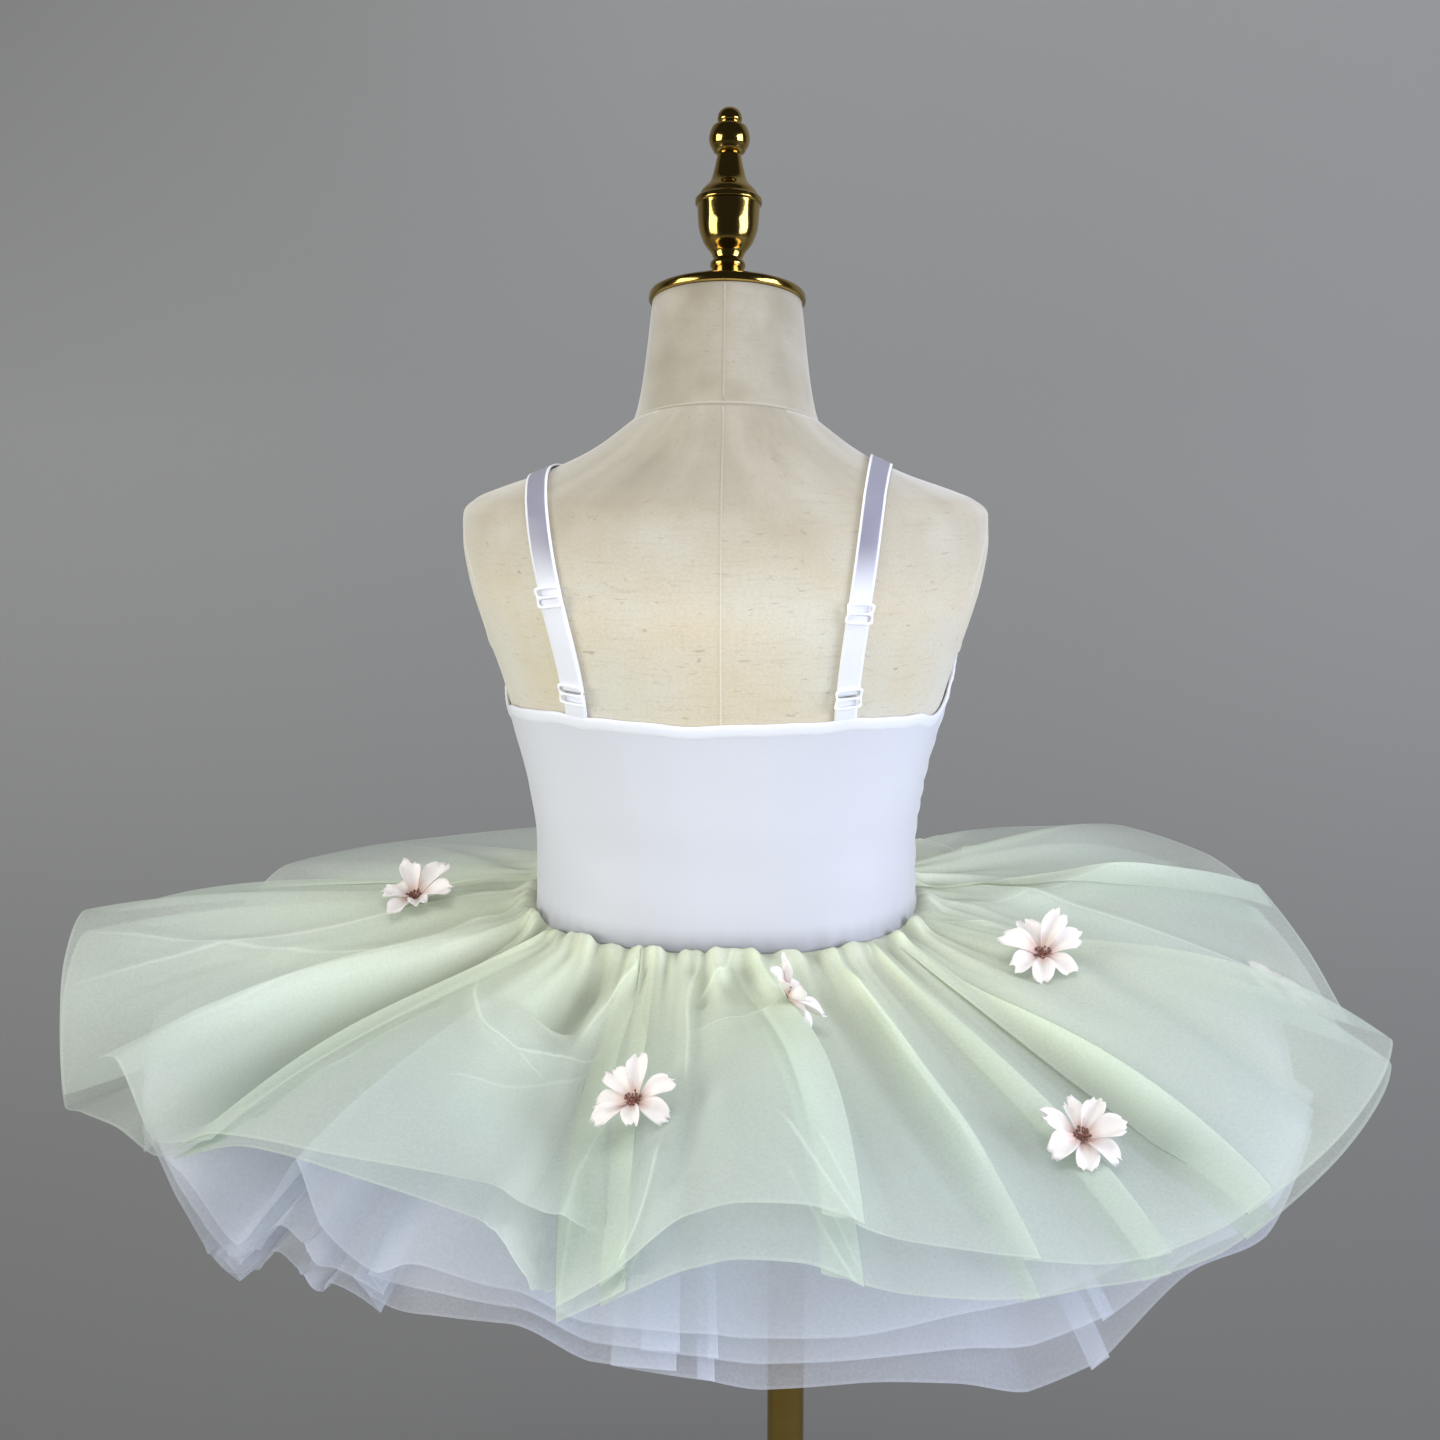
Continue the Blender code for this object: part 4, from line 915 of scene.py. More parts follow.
def doubled(folds):
    """Knots round a layer: a tucked line becomes its ridge and the turn hidden under it."""
    knots = []
    count = len(folds)
    for index, row in enumerate(folds):
        ridge = Knot(
            row.waist, row.hem, row.reach, row.drop, row.arch, row.crease, row.under, row.bow,
            row.crease if row.crease >= SHARP_FOLD else 0.0,
        )
        if not row.tuck:
            knots.append(ridge)
            continue
        step = -1 if row.tuck > 0 else 1
        beside = folds[(index + step) % count]
        far = beside.hem + 360.0 * ((index + step) // count) - row.hem
        share = min(1.0, abs(row.tuck / far))
        turn = Knot(
            row.waist - row.tuck * WAIST_TUCK, row.hem - row.tuck, row.reach - 1.0 - row.short,
            mixed(row.drop, beside.drop, share) * (1.0 - row.short / row.reach) + TUCK_DROP,
            mixed(row.arch, beside.arch, share),
            1.0, mixed(row.under, beside.under, share), row.bow, 0.3,
        )
        ridge = ridge._replace(crease=max(0.85, row.crease), line=1.0)
        knots += [ridge, turn] if row.tuck > 0 else [turn, ridge]
    return knots


def hem_places(knots, step):
    """Where a layer's columns stand, counted in knots, and how bright an edge each carries."""
    places, lines = [], []
    count = len(knots)
    for index, knot in enumerate(knots):
        after = knots[(index + 1) % count]
        turn = math.radians((after.hem - knot.hem + 180.0) % 360.0 - 180.0)
        length = math.hypot(knot.reach * turn, after.drop - knot.drop)
        steps = max(3, math.ceil(length * MM / step))
        within = list(np.arange(steps) / steps)
        beside = min(0.3 / steps, 0.7 / length)
        if knot.line:
            within.insert(1, beside)
        if after.line:
            within.append(1.0 - beside)
        places += [index + share for share in within]
        lines += [knot.line] + [0.0] * (len(within) - 1)
    return np.array(places), np.array(lines)


def gathers(waist_angle, v, depth, seed):
    """Heights of the small pleats that leave the seam, uneven in depth and length."""
    turn = np.radians(waist_angle)
    wobble = 0.9 * np.sin(3 * turn + seed) + 0.6 * np.sin(7 * turn + 2.1 * seed)
    broad = np.sin(41 * turn + 2.4 * wobble)
    fine = 0.4 * np.sin(97 * turn + 3.1 * wobble)
    uneven = 0.65 + 0.35 * np.sin(11 * turn + 1.3 * seed) * np.sin(5 * turn + seed)
    reach = 0.30 + 0.12 * np.sin(9 * turn + 0.7 * seed) + 0.06 * np.sin(23 * turn)
    open_up = np.clip(v / 0.04, 0.0, 1.0)
    small = depth * uneven * (broad + fine) * open_up * np.exp(-(v / reach) ** 2)
    long_wave = np.sin(31 * turn + 1.7 * wobble + seed) * (0.5 + 0.5 * np.sin(6 * turn + seed))
    swell = np.clip(v / 0.15, 0.0, 1.0) * np.clip((0.95 - v) / 0.6, 0.0, 1.0)
    return small + depth * 0.6 * long_wave * swell


def billows(waist_angle, seed):
    """How strongly the net puffs up beside the seam, round the waist: 0 .. about 1."""
    dice = random.Random(seed)
    total = np.zeros_like(waist_angle)
    for k in range(PUFFS):
        at = 360.0 * (k + dice.uniform(0.1, 0.9)) / PUFFS
        width = dice.uniform(2.2, 6.5)
        apart = np.abs((waist_angle - at + 180.0) % 360.0 - 180.0)
        height = dice.uniform(0.4, 1.0) * min(1.0, 0.35 + width / 6.0)
        total = np.maximum(total, height * np.exp(-(apart / width) ** 3))
    return total


def front_creases():
    """The creases on the front, out of the ones on the back."""
    return [
        row._replace(
            points=[(angle + FRONT_TURN, radius) for angle, radius in row.points],
            rise=row.rise * FRONT_RISE,
        )
        for row in CREASES
    ]


class Layer:
    """One layer of net: rows of points from the waist seam to the hem."""

    def __init__(self, folds, rings, step, level, start_height, seed, depth, creases=()):
        knots = doubled(folds)
        places, lines = hem_places(knots, step)
        read = {
            field: round_knots(knots, field, places)
            for field in ("reach", "drop", "arch", "under", "bow")
        }
        waist = round_knots(knots, "waist", places, 360.0)
        hem = np.radians(round_knots(knots, "hem", places, 360.0))
        middle = waist_middle()
        start = form_points(waist, start_height / MM, CLOTH_LIFT)
        end_x = middle[0] + read["reach"] * MM * np.sin(hem)
        end_y = middle[1] - read["reach"] * MM * np.cos(hem)
        v = np.linspace(0.0, 1.0, rings)[:, None] ** 1.3
        x = mixed(start[:, 0], end_x, v) - middle[0]
        y = mixed(start[:, 1], end_y, v) - middle[1]
        swing = np.radians(read["bow"]) * 4 * v * (1 - v)
        self.x = middle[0] + x * np.cos(swing) - y * np.sin(swing)
        self.y = middle[1] + x * np.sin(swing) + y * np.cos(swing)
        puff = PUFF_SCALE * v * v * (1 - v)
        fall = (read["drop"] * v - read["arch"] * puff) * MM + seam_drop(waist) * (1 - v)
        self.z = WAIST_HEIGHT - level * LAYER_STEP * (1 - v) - fall
        self.z += gathers(waist, v, depth, seed)
        beside_seam = np.exp(-((v - 0.028) / 0.024) ** 2) * np.clip(v / 0.014, 0.0, 1.0)
        self.z += PUFF_RISE * billows(waist, seed) * beside_seam
        self.under = read["under"] * MM
        self.line = np.broadcast_to(lines, self.z.shape)
        self.gap = np.full((LINE_SETS, *self.z.shape), LINE_REACH)
        self.gap_line = np.zeros(self.gap.shape)
        self.v = v
        self.places = places / len(knots)
        edged = 0
        for crease in creases:
            self.press(crease, edged % LINE_SETS)
            edged += crease.line > 0.0

    def press(self, crease, line_set):
        """Raise or lower the net along a crease, tapering off at its ends."""
        middle = waist_middle()
        here = np.stack((self.x - middle[0], middle[1] - self.y), axis=-1) / MM
        count = len(crease.points)
        at = np.linspace(0, count - 1, (count - 1) * CREASE_STEPS + 1)
        angle, radius = (
            curve(np.arange(count), values, [0.0] * count, at) for values in zip(*crease.points)
        )
        turn = np.radians(angle)
        knots = np.stack((radius * np.sin(turn), radius * np.cos(turn)), axis=-1)
        nearest = np.full(self.x.shape, np.inf)
        along = np.zeros(self.x.shape)
        side = np.ones(self.x.shape)
        for index, (a, b) in enumerate(zip(knots, knots[1:])):
            run = b - a
            t = np.clip((here - a) @ run / (run @ run), 0.0, 1.0)
            away = np.linalg.norm(here - a - t[..., None] * run, axis=-1)
            closer = away < nearest
            nearest = np.where(closer, away, nearest)
            along = np.where(closer, (index + t) / (len(knots) - 1), along)
            left = run[0] * (here - a)[..., 1] > run[1] * (here - a)[..., 0]
            side = np.where(closer, np.where(left, 1.0, -1.0), side)
        taper = np.clip(6.0 * np.minimum(along, 1.0 - along) + 0.12, 0.0, 1.0)
        bell = np.exp(-(nearest / crease.width) ** 2) * taper
        self.z += crease.rise * MM * bell * np.clip(self.v * 7.0, 0.0, 1.0)
        gap, gap_line = self.gap[line_set], self.gap_line[line_set]
        closer = (nearest < np.abs(gap)) & (crease.line > 0.0)
        fade = 1.0 - (nearest / LINE_REACH) ** 2
        gap_line[closer] = (crease.line * taper * fade)[closer]
        gap[closer] = (side * nearest)[closer]

    def steepness(self):
        """How much further apart two layers stand where a flank is steep."""
        run = np.hypot(self.x - np.roll(self.x, -1, 1), self.y - np.roll(self.y, -1, 1))
        slope = np.abs(self.z - np.roll(self.z, -1, 1)) / np.maximum(run, MM / 10)
        steepest = np.minimum(np.maximum(slope, np.roll(slope, 1, 1)), 3.0)
        return np.sqrt(1 + steepest ** 2)

    def hollows(self, strength):
        """How far each point lies in a trough: -1 on a crest, 1 at the bottom, more in a pocket."""
        around = sum(np.roll(self.z, k, 1) for k in range(-SHADE_REACH, SHADE_REACH + 1))
        level = around / (2 * SHADE_REACH + 1)
        wide = sum(np.roll(level, k, 1) for k in range(-SHADE_REACH, SHADE_REACH + 1, 2))
        level = wide / (SHADE_REACH + 1)
        scale = 0.0022 + 0.0075 * self.v
        fade = np.clip((1.0 - self.v) / 0.3, 0.25, 1.0) * strength
        return np.clip((level - self.z) / scale, -1.0, DEEPEST) * fade

    def roof(self):
        """Lowest height of this layer in cells round the middle."""
        middle = waist_middle()
        turn = np.degrees(np.arctan2(self.x - middle[0], middle[1] - self.y)) % 360.0
        out = np.hypot(self.x - middle[0], self.y - middle[1])
        cells = np.full((round(360 / ROOF_TURN), 64), np.inf)
        place = ((turn / ROOF_TURN).astype(int) % cells.shape[0], (out / ROOF_STEP).astype(int))
        np.minimum.at(cells, place, self.z)
        wide = np.minimum(cells, np.minimum(np.roll(cells, 1, 0), np.roll(cells, -1, 0)))
        wide[:, 1:] = np.minimum(wide[:, 1:], wide[:, :-1])
        return wide, place

    def hang_under(self, above, clearance):
        """Lower this layer wherever it would come through the one above."""
        ceiling, _ = above.roof()
        _, place = self.roof()
        allowed = ceiling[place] - clearance * np.minimum(self.v * 8, 1.0)
        excess = np.where(np.isfinite(allowed), np.maximum(self.z - allowed, 0.0), 0.0)
        spread = np.maximum.reduce([np.roll(excess, k, 1) for k in range(-3, 4)])
        for _ in range(3):
            spread = sum(np.roll(spread, k, 1) for k in (-3, -1, 0, 1, 3)) / 5
        self.z -= np.maximum(spread, excess)

    def build(self, name, material, slot, rests_on, shade):
        points = np.stack((self.x, self.y, self.z), axis=-1)
        bm = net(points, closed=True)
        face_up(bm)
        across = np.append(self.places, 1.0)
        uv = grid_uv(across, self.v[:, 0])
        obj = piece(name, bm, material, uv)
        steep = np.clip(self.steepness() - 1.0, 0.0, 1.0)
        fields = {
            "net_shape": (self.line, steep, self.hollows(shade)),
            "crease_gaps": self.gap,
            "crease_lines": self.gap_line,
        }
        for field, values in fields.items():
            rows = np.stack(values, axis=-1)
            whole = np.concatenate((rows, rows[:, :1]), axis=1).ravel()
            obj.data.attributes.new(field, "FLOAT_VECTOR", "POINT").data.foreach_set(
                "vector", whole.astype(np.float32)
            )
        weld = obj.modifiers.new("side_seam", "WELD")
        weld.merge_threshold = MM / 100
        return obj


# ---- dress form and stand --------------------------------------------------------------------
def form_surface(sections, columns, per_span):
    """Rows of points round one part of the form, and how far each lies from the first (metres)."""
    heights = [row.height for row in sections]
    places = np.linspace(0, len(sections) - 1, (len(sections) - 1) * per_span + 1)
    rows_at = np.interp(places, range(len(sections)), heights)
    angles = np.linspace(0.0, 360.0, columns + 1)[:-1] + 180.0
    points = form_points(angles[None, :], rows_at[:, None], 0.0, sections)
    steps = np.linalg.norm(np.diff(points[:, 0], axis=0), axis=1)
    return points, np.concatenate(([0.0], np.cumsum(steps)))


def form_piece(name, sections, columns, per_span, material, node):
    """Smooth closed body for one linen-covered part of the form."""
    points, rows_at = form_surface(sections, columns, per_span)
    girth = math.tau * sections[len(sections) // 2].half_width * MM
    bm = net(points, closed=True)
    across = np.linspace(0.0, girth, columns + 1)
    obj_uv = grid_uv(across, rows_at)
    layer = bm.loops.layers.uv.new("weave")
    bm.verts.index_update()
    for face in bm.faces:
        for loop in face.loops:
            loop[layer].uv = obj_uv[loop.vert.index]
    bmesh.ops.remove_doubles(bm, verts=bm.verts, dist=MM / 100)
    bmesh.ops.holes_fill(bm, edges=[edge for edge in bm.edges if edge.is_boundary], sides=0)
    bmesh.ops.recalc_face_normals(bm, faces=bm.faces)
    obj = piece(name, bm, material, smooth_angle=60.0)
    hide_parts(node)
    return obj


def tube_along(path, radius, sides, closed):
    """Thin round tube along a path of points."""
    path = [Vector(point) for point in path]
    count = len(path)
    rows = []
    for index, point in enumerate(path):
        before = path[index - 1] if closed or index else point
        after = path[(index + 1) % count] if closed or index < count - 1 else point
        run = (after - before).normalized()
        side = side - run * side.dot(run) if index else run.orthogonal().normalized()
        side.normalize()
        up = run.cross(side)
        rows.append([
            point + (side * math.cos(a) + up * math.sin(a)) * radius
            for a in (math.tau * k / sides for k in range(sides))
        ])
    if closed:
        rows.append(rows[0])
    bm = net(np.array(rows), closed=True)
    bmesh.ops.remove_doubles(bm, verts=bm.verts, dist=radius / 50)
    if not closed:
        bmesh.ops.holes_fill(bm, edges=[e for e in bm.edges if e.is_boundary], sides=0)
    bmesh.ops.recalc_face_normals(bm, faces=bm.faces)
    return bm


def join_meshes(parts):
    """One bmesh from several."""
    whole = bmesh.new()
    for part in parts:
        mesh = bpy.data.meshes.new("part")
        part.to_mesh(mesh)
        part.free()
        whole.from_mesh(mesh)
        bpy.data.meshes.remove(mesh)
    return whole


def neck_top_matrix(along):
    """Frame on the neck's tilted top, moved out along its axis."""
    top = NECK[-1]
    place = Vector((BODY_X, top.forward * MM, WAIST_HEIGHT + top.height * MM))
    tilt = Matrix.Rotation(-math.radians(NECK_TILT), 4, "X")
    return Matrix.Translation(place) @ tilt @ Matrix.Translation((0, 0, along))


ARM_PLATE = (0.170, 0.000, 0.037, 0.036)  # middle's height and y, half height, half depth


def seam_paths(torso):
    """Neck seam, the rings of both arm plates and the centre seams of the linen cover."""
    tree = sampled_tree(torso)
    ring = form_points(np.linspace(0, 360, 97)[:-1], NECK[0].height, -0.0002, NECK)
    paths = [(ring, 0.0009, True)]
    height, depth, half_height, half_depth = ARM_PLATE
    for side in (-1, 1):
        plate = []
        for turn in np.linspace(0, math.tau, 65)[:-1]:
            y = depth + half_depth * math.cos(turn)
            z = WAIST_HEIGHT + height + half_height * math.sin(turn)
            hit = tree.ray_cast(Vector((BODY_X + side * 0.3, y, z)), Vector((-side, 0, 0)))
            plate.append(hit[0] - hit[1] * 0.0003)
        paths.append((plate, 0.0008, True))
    for angle in (0.0, 180.0):
        line = form_points(angle, np.linspace(-140, 242, 90), -0.00012)
        paths.append((line, 0.0005, False))
        line = form_points(angle, np.linspace(244.5, 302, 16), -0.00012, NECK)
        paths.append((line, 0.0005, False))
    return paths


def build_form():
    """Torso and neck in linen, with the raised seams of their cover."""
    look = bpy.context.scene.tutu_form
    linen = woven_linen(tuple(look.linen_colour))
    torso = form_piece("torso_linen", TORSO, 128, 6, linen, "form_torso")
    form_piece("neck_linen", NECK, 96, 10, linen, "form_neck")
    seams = join_meshes([
        tube_along(path, radius, 8, closed) for path, radius, closed in seam_paths(torso)
    ])
    seam_colour = tinted(look.linen_colour, 1.08)
    piece("cover_seams", seams, woven_linen(seam_colour))


def build_brass():
    """Neck cap, finial, collar, pole and base, all turned."""
    look = bpy.context.scene.tutu_form
    brass = polished_brass(tuple(look.brass_colour), look.brass_roughness)
    cap = turned("neck_cap", CAP_PROFILE, 128, 5, brass, neck_top_matrix(GAP))
    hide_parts("form_cap")
    finial = turned(
        "finial_urn", FINIAL_PROFILE, 80, 5, brass,
        neck_top_matrix(FINIAL_SEAT * MM + 2 * GAP),
    )
    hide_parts("finial")
    base = turned("base_disc", BASE_PROFILE, 160, 4, brass)
    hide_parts("stand_base")
    bottom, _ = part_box("stand_collar")
    collar = turned(
        "pole_collar", COLLAR_PROFILE, 72, 3, brass, Matrix.Translation((0, 0, bottom[2]))
    )
    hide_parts("stand_collar")
    low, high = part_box("stand_pole")
    bm = bmesh.new()
    bmesh.ops.create_cone(
        bm, cap_ends=True, segments=96, radius1=POLE_RADIUS, radius2=POLE_RADIUS,
        depth=high[2] - low[2],
    )
    bmesh.ops.translate(bm, vec=(0, 0, (high[2] + low[2]) / 2), verts=bm.verts)
    pole = piece("pole_tube", bm, brass, smooth_angle=40.0)
    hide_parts("stand_pole")


# ---- bodice ----------------------------------------------------------------------------------
SATIN_WALL = 0.0009
SIDE_ANGLES = (90 + GARMENT_TURN, 270 + GARMENT_TURN)
BINDING_PATH = (              # from the outside's lower edge over the top to the inside (mm)
    (1.95, -6.2), (2.30, -5.9), (2.55, -4.6), (2.62, -2.6), (2.45, -0.9), (1.95, 0.1),
    (1.30, 0.25), (0.75, -0.3), (0.50, -1.6), (0.45, -5.0),
)


def side_distance(angle):
    """Degrees from the nearer side seam."""
    return np.minimum.reduce([
        np.abs((angle - side + 180.0) % 360.0 - 180.0) for side in SIDE_ANGLES
    ])


def cloth_ripple(angle, height, edge):
    """How far the bodice stands off its smooth form, in metres: puckers and strain lines."""
    near_side = np.exp(-(side_distance(angle) / 5.0) ** 2)
    pucker = near_side * np.sin(height / 1.9 + 1.2 * np.sin(height / 9.0)) * 0.00035
    below = edge - height
    under_edge = np.exp(-((below - 12.0) / 7.0) ** 2) * np.exp(-(side_distance(angle) / 9.0) ** 2)
    gathered = under_edge * (0.0007 + 0.0005 * np.sin(below / 1.7 + angle / 3.0))
    uneven = np.sin(angle * 0.9 + 1.7 * np.sin(angle / 9.0))
    waist = np.exp(-np.maximum(height, 0.0) / 7.0) * uneven
    strain = 0.00025 * np.sin(height / 7.0 + angle / 13.0) * np.exp(-height / 45.0)
    return pucker + gathered + waist * 0.0003 + strain


def edge_wave(angle):
    """Uneven line of the top edge (mm)."""
    return 0.35 * np.sin(angle / 4.1) + 0.25 * np.sin(angle / 2.3 + 1.0)


def bodice_panel(name, first, last, satin, node):
    """One bodice panel, from just inside the waist seam to the top edge."""
    angles = np.linspace(first, last, 150)
    shares = np.linspace(0.0, 1.0, 70)[:, None]
    edge = edge_height(angles) + edge_wave(angles)
    low = -seam_drop(angles) / MM - 0.5
    heights = low + (edge - low) * shares
    lift = CLOTH_LIFT + cloth_ripple(angles[None, :], heights, edge[None, :])
    points = form_points(np.broadcast_to(angles, heights.shape), heights, lift)
    bm = net(points)
    face_away(bm, (BODY_X, 0, WAIST_HEIGHT + 0.05))
    girth = np.radians(angles - first) * 0.095
    uv = grid_uv(girth, shares[:, 0] * 0.112)
    obj = walled(piece(name, bm, satin, uv), SATIN_WALL)
    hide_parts(node)
    return obj


def binding_band(name, first, last, elastic, node):
    """Elastic folded over the top edge, standing a little proud of the cloth."""
    angles = np.linspace(first, last, 260)
    edge = edge_height(angles) + edge_wave(angles)
    rows = []
    for lift, below in BINDING_PATH:
        ripple = cloth_ripple(angles, edge + below, edge) if lift > 1.2 else 0.0
        pinch = 0.12 * np.sin(angles * 2.9 + below) if lift > 1.8 else 0.0
        rows.append(form_points(angles, edge + below, (lift + pinch) * MM + ripple))
    bm = net(np.array(rows))
    bmesh.ops.recalc_face_normals(bm, faces=bm.faces)
    upright = [face for face in bm.faces if face.normal.z > 0.8]
    if sum(face.normal.z for face in upright) <= 0:
        bmesh.ops.reverse_faces(bm, faces=bm.faces)
    length = np.concatenate(([0.0], np.cumsum(
        np.linalg.norm(np.diff(np.array(rows)[0], axis=0), axis=1)
    )))
    across = np.linspace(0.0, 1.0, len(BINDING_PATH))
    u, v = np.meshgrid(length, across)
    uv = np.stack((v.ravel(), u.ravel()), axis=-1)
    obj = piece(name, bm, elastic, uv)
    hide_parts(node)
    return obj, float(length[-1])


def build_bodice():
    """Back and front panels and the binding on their top edge."""
    look = bpy.context.scene.tutu_cloth
    satin = stretch_satin(tuple(look.bodice_colour))
    elastic = satin_elastic("binding_elastic", tuple(look.elastic_colour), 0.10, 0.0011)
    right, left = SIDE_ANGLES
    spans = {"back": (left - 360.0, right), "front": (right, left)}
    for side, (first, last) in spans.items():
        panel = bodice_panel(f"bodice_{side}_panel", first, last, satin, f"bodice_{side}")
        band, length = binding_band(
            f"binding_{side}_band", first, last, elastic, f"binding_{side}"
        )


# ---- straps ----------------------------------------------------------------------------------
STRAP_LIFT = 0.0009
STRAP_WALL = 0.0011
SLIDER_SIZE = (0.0146, 0.0108)
SLIDER_BAR = 0.0015
SLIDER_WALL = 0.0015
SLIDER_NIP = 0.0009           # how far its sides are nipped in at the middle bar
SLIDER_CORNER = 0.0008        # how far its corners are cut back


def strap_ray(tree, x, angle):
    """Cast on the form from outside, in the plane across the shoulder at x."""
    middle = Vector((BODY_X + x, 0.0, WAIST_HEIGHT + 0.140))
    outward = Vector((0.0, math.sin(angle), math.cos(angle)))
    place, normal, _, _ = tree.ray_cast(middle + outward * 0.5, -outward)
    return np.array(place), np.array(normal)


def strap_rows(tree, strap):
    """Rows of points across the strap on the form, with their normals, back edge to front."""
    rows, normals = [], []
    across = np.linspace(-0.5, 0.5, 7)
    for angle in np.linspace(STRAP_BACK, STRAP_FRONT, 330):
        behind = angle < strap.peak
        end_x, end = (strap.back_x, STRAP_BACK) if behind else (strap.front_x, STRAP_FRONT)
        share = (angle - strap.peak) / (end - strap.peak)
        over = max(0.0, math.cos(math.pi / 2 * share))
        x = end_x + (strap.shoulder_x - end_x) * over ** strap.bow
        angle = math.radians(angle)
        hits = [strap_ray(tree, strap.side * (x * MM + a * STRAP_WIDTH), angle) for a in across]
        if strap.side > 0:
            hits.reverse()
        rows.append([hit[0] for hit in hits])
        normals.append([hit[1] for hit in hits])
    rows, normals = np.array(rows), np.array(normals)
    middle = rows[:, 3]
    turn = np.degrees(np.arctan2(middle[:, 0] - BODY_X, -middle[:, 1]))
    clear = (middle[:, 2] - WAIST_HEIGHT) / MM > edge_height(turn) - 2.0
    return rows[clear], normals[clear]


def strip(name, rows, normals, lift, elastic):
    """Elastic strip with a slightly crowned middle along some rows."""
    crown = np.array((0.0, 0.6, 0.9, 1.0, 0.9, 0.6, 0.0)) * 0.00018
    points = rows + normals * (lift + crown)[None, :, None]
    bm = net(points)
    face_away(bm, (BODY_X, 0, WAIST_HEIGHT + 0.14))
    steps = np.linalg.norm(np.diff(points[:, 3], axis=0), axis=1)
    along = np.concatenate(([0.0], np.cumsum(steps)))
    uv = grid_uv(np.linspace(0.0, 1.0, 7), along)
    obj = walled(piece(name, bm, elastic, uv), STRAP_WALL * 0.85)
    return obj


def slider_frame(name, row, next_row, normal, lift, plastic):
    """Figure-eight slider: two windows between three bars, nipped in at its middle."""
    width, height = SLIDER_SIZE
    bar = SLIDER_BAR
    window = (height - 3 * bar) / 2
    across = (0.0, bar, width * 0.35, width * 0.65, width - bar, width)
    along = (0.0, bar, bar + window, 2 * bar + window, height - bar, height)
    side = Vector(row[-1] - row[0]).normalized()
    run = Vector(next_row[3] - row[3]).normalized()
    out = Vector(normal)
    centre = Vector(row[3]) + out * lift
    points = []
    for index, b in enumerate(along):
        nip = SLIDER_NIP if index in (2, 3) else (SLIDER_CORNER if index in (0, 5) else 0.0)
        line = []
        for column, a in enumerate(across):
            inward = nip if column == 0 else (-nip if column == 5 else 0.0)
            corner = SLIDER_CORNER if column in (0, 5) and index in (0, 5) else 0.0
            inner = corner if index == 0 else -corner
            sideways, lengthways = a + inward - width / 2, b + inner - height / 2
            line.append(centre + side * sideways + run * lengthways)
        points.append(line)
    bm = net(np.array(points))
    bm.faces.ensure_lookup_table()
    windows = [bm.faces[r * 5 + c] for r in (1, 3) for c in (1, 2, 3)]
    bmesh.ops.delete(bm, geom=windows, context="FACES")
    face_away(bm, centre - out)
    obj = walled(piece(name, bm, plastic), SLIDER_WALL)
    rounded = obj.modifiers.new("rounded", "SUBSURF")
    rounded.levels = rounded.render_levels = 2
    return obj


def build_straps():
    """Straps, tabs, the doubled stretch between the sliders, and the sliders."""
    look = bpy.context.scene.tutu_cloth
    elastic = satin_elastic("strap_elastic", tuple(look.elastic_colour), 0.12, 0.0010)
    plastic = moulded_plastic(linear("#F4F5F9"))
    tree = sampled_tree(bpy.data.objects["torso_linen"])
    for strap in STRAPS:
        rows, normals = strap_rows(tree, strap)
        back = int(np.sum(rows[:, 3, 1] < 0))
        low = round((strap.lower_slider + 0.02) * back)
        high = round((strap.upper_slider + 0.012) * back)
        name = strap.name
        ends = {f"strap_tab_{name}": slice(0, low + 1), f"strap_{name}": slice(low + 1, None)}
        for node, span in ends.items():
            obj = strip(f"{node}_elastic", rows[span], normals[span], STRAP_LIFT, elastic)
            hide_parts(node)
        strip(
            f"strap_{name}_doubled", rows[low + 2:high], normals[low + 2:high],
            STRAP_LIFT + STRAP_WALL, elastic,
        )
        for place, at in (("low", low), ("high", high)):
            obj = slider_frame(
                f"slider_{place}_{name}_ring", rows[at], rows[at + 1], normals[at][3],
                STRAP_LIFT + STRAP_WALL * 1.9, plastic,
            )
            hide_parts(f"slider_{place}_{name}")


# ---- the skirt's layers ----------------------------------------------------------------------
# upper, middle and lower white layer: the share of each row's `under` by which it is lifted, the
# degrees that its folds are turned, and the share of each row's tuck that it keeps
WHITE_LAYERS = ((1.0, -0.3, 0.0), (0.5, 0.3, 0.6), (0.0, 0.0, 1.0))


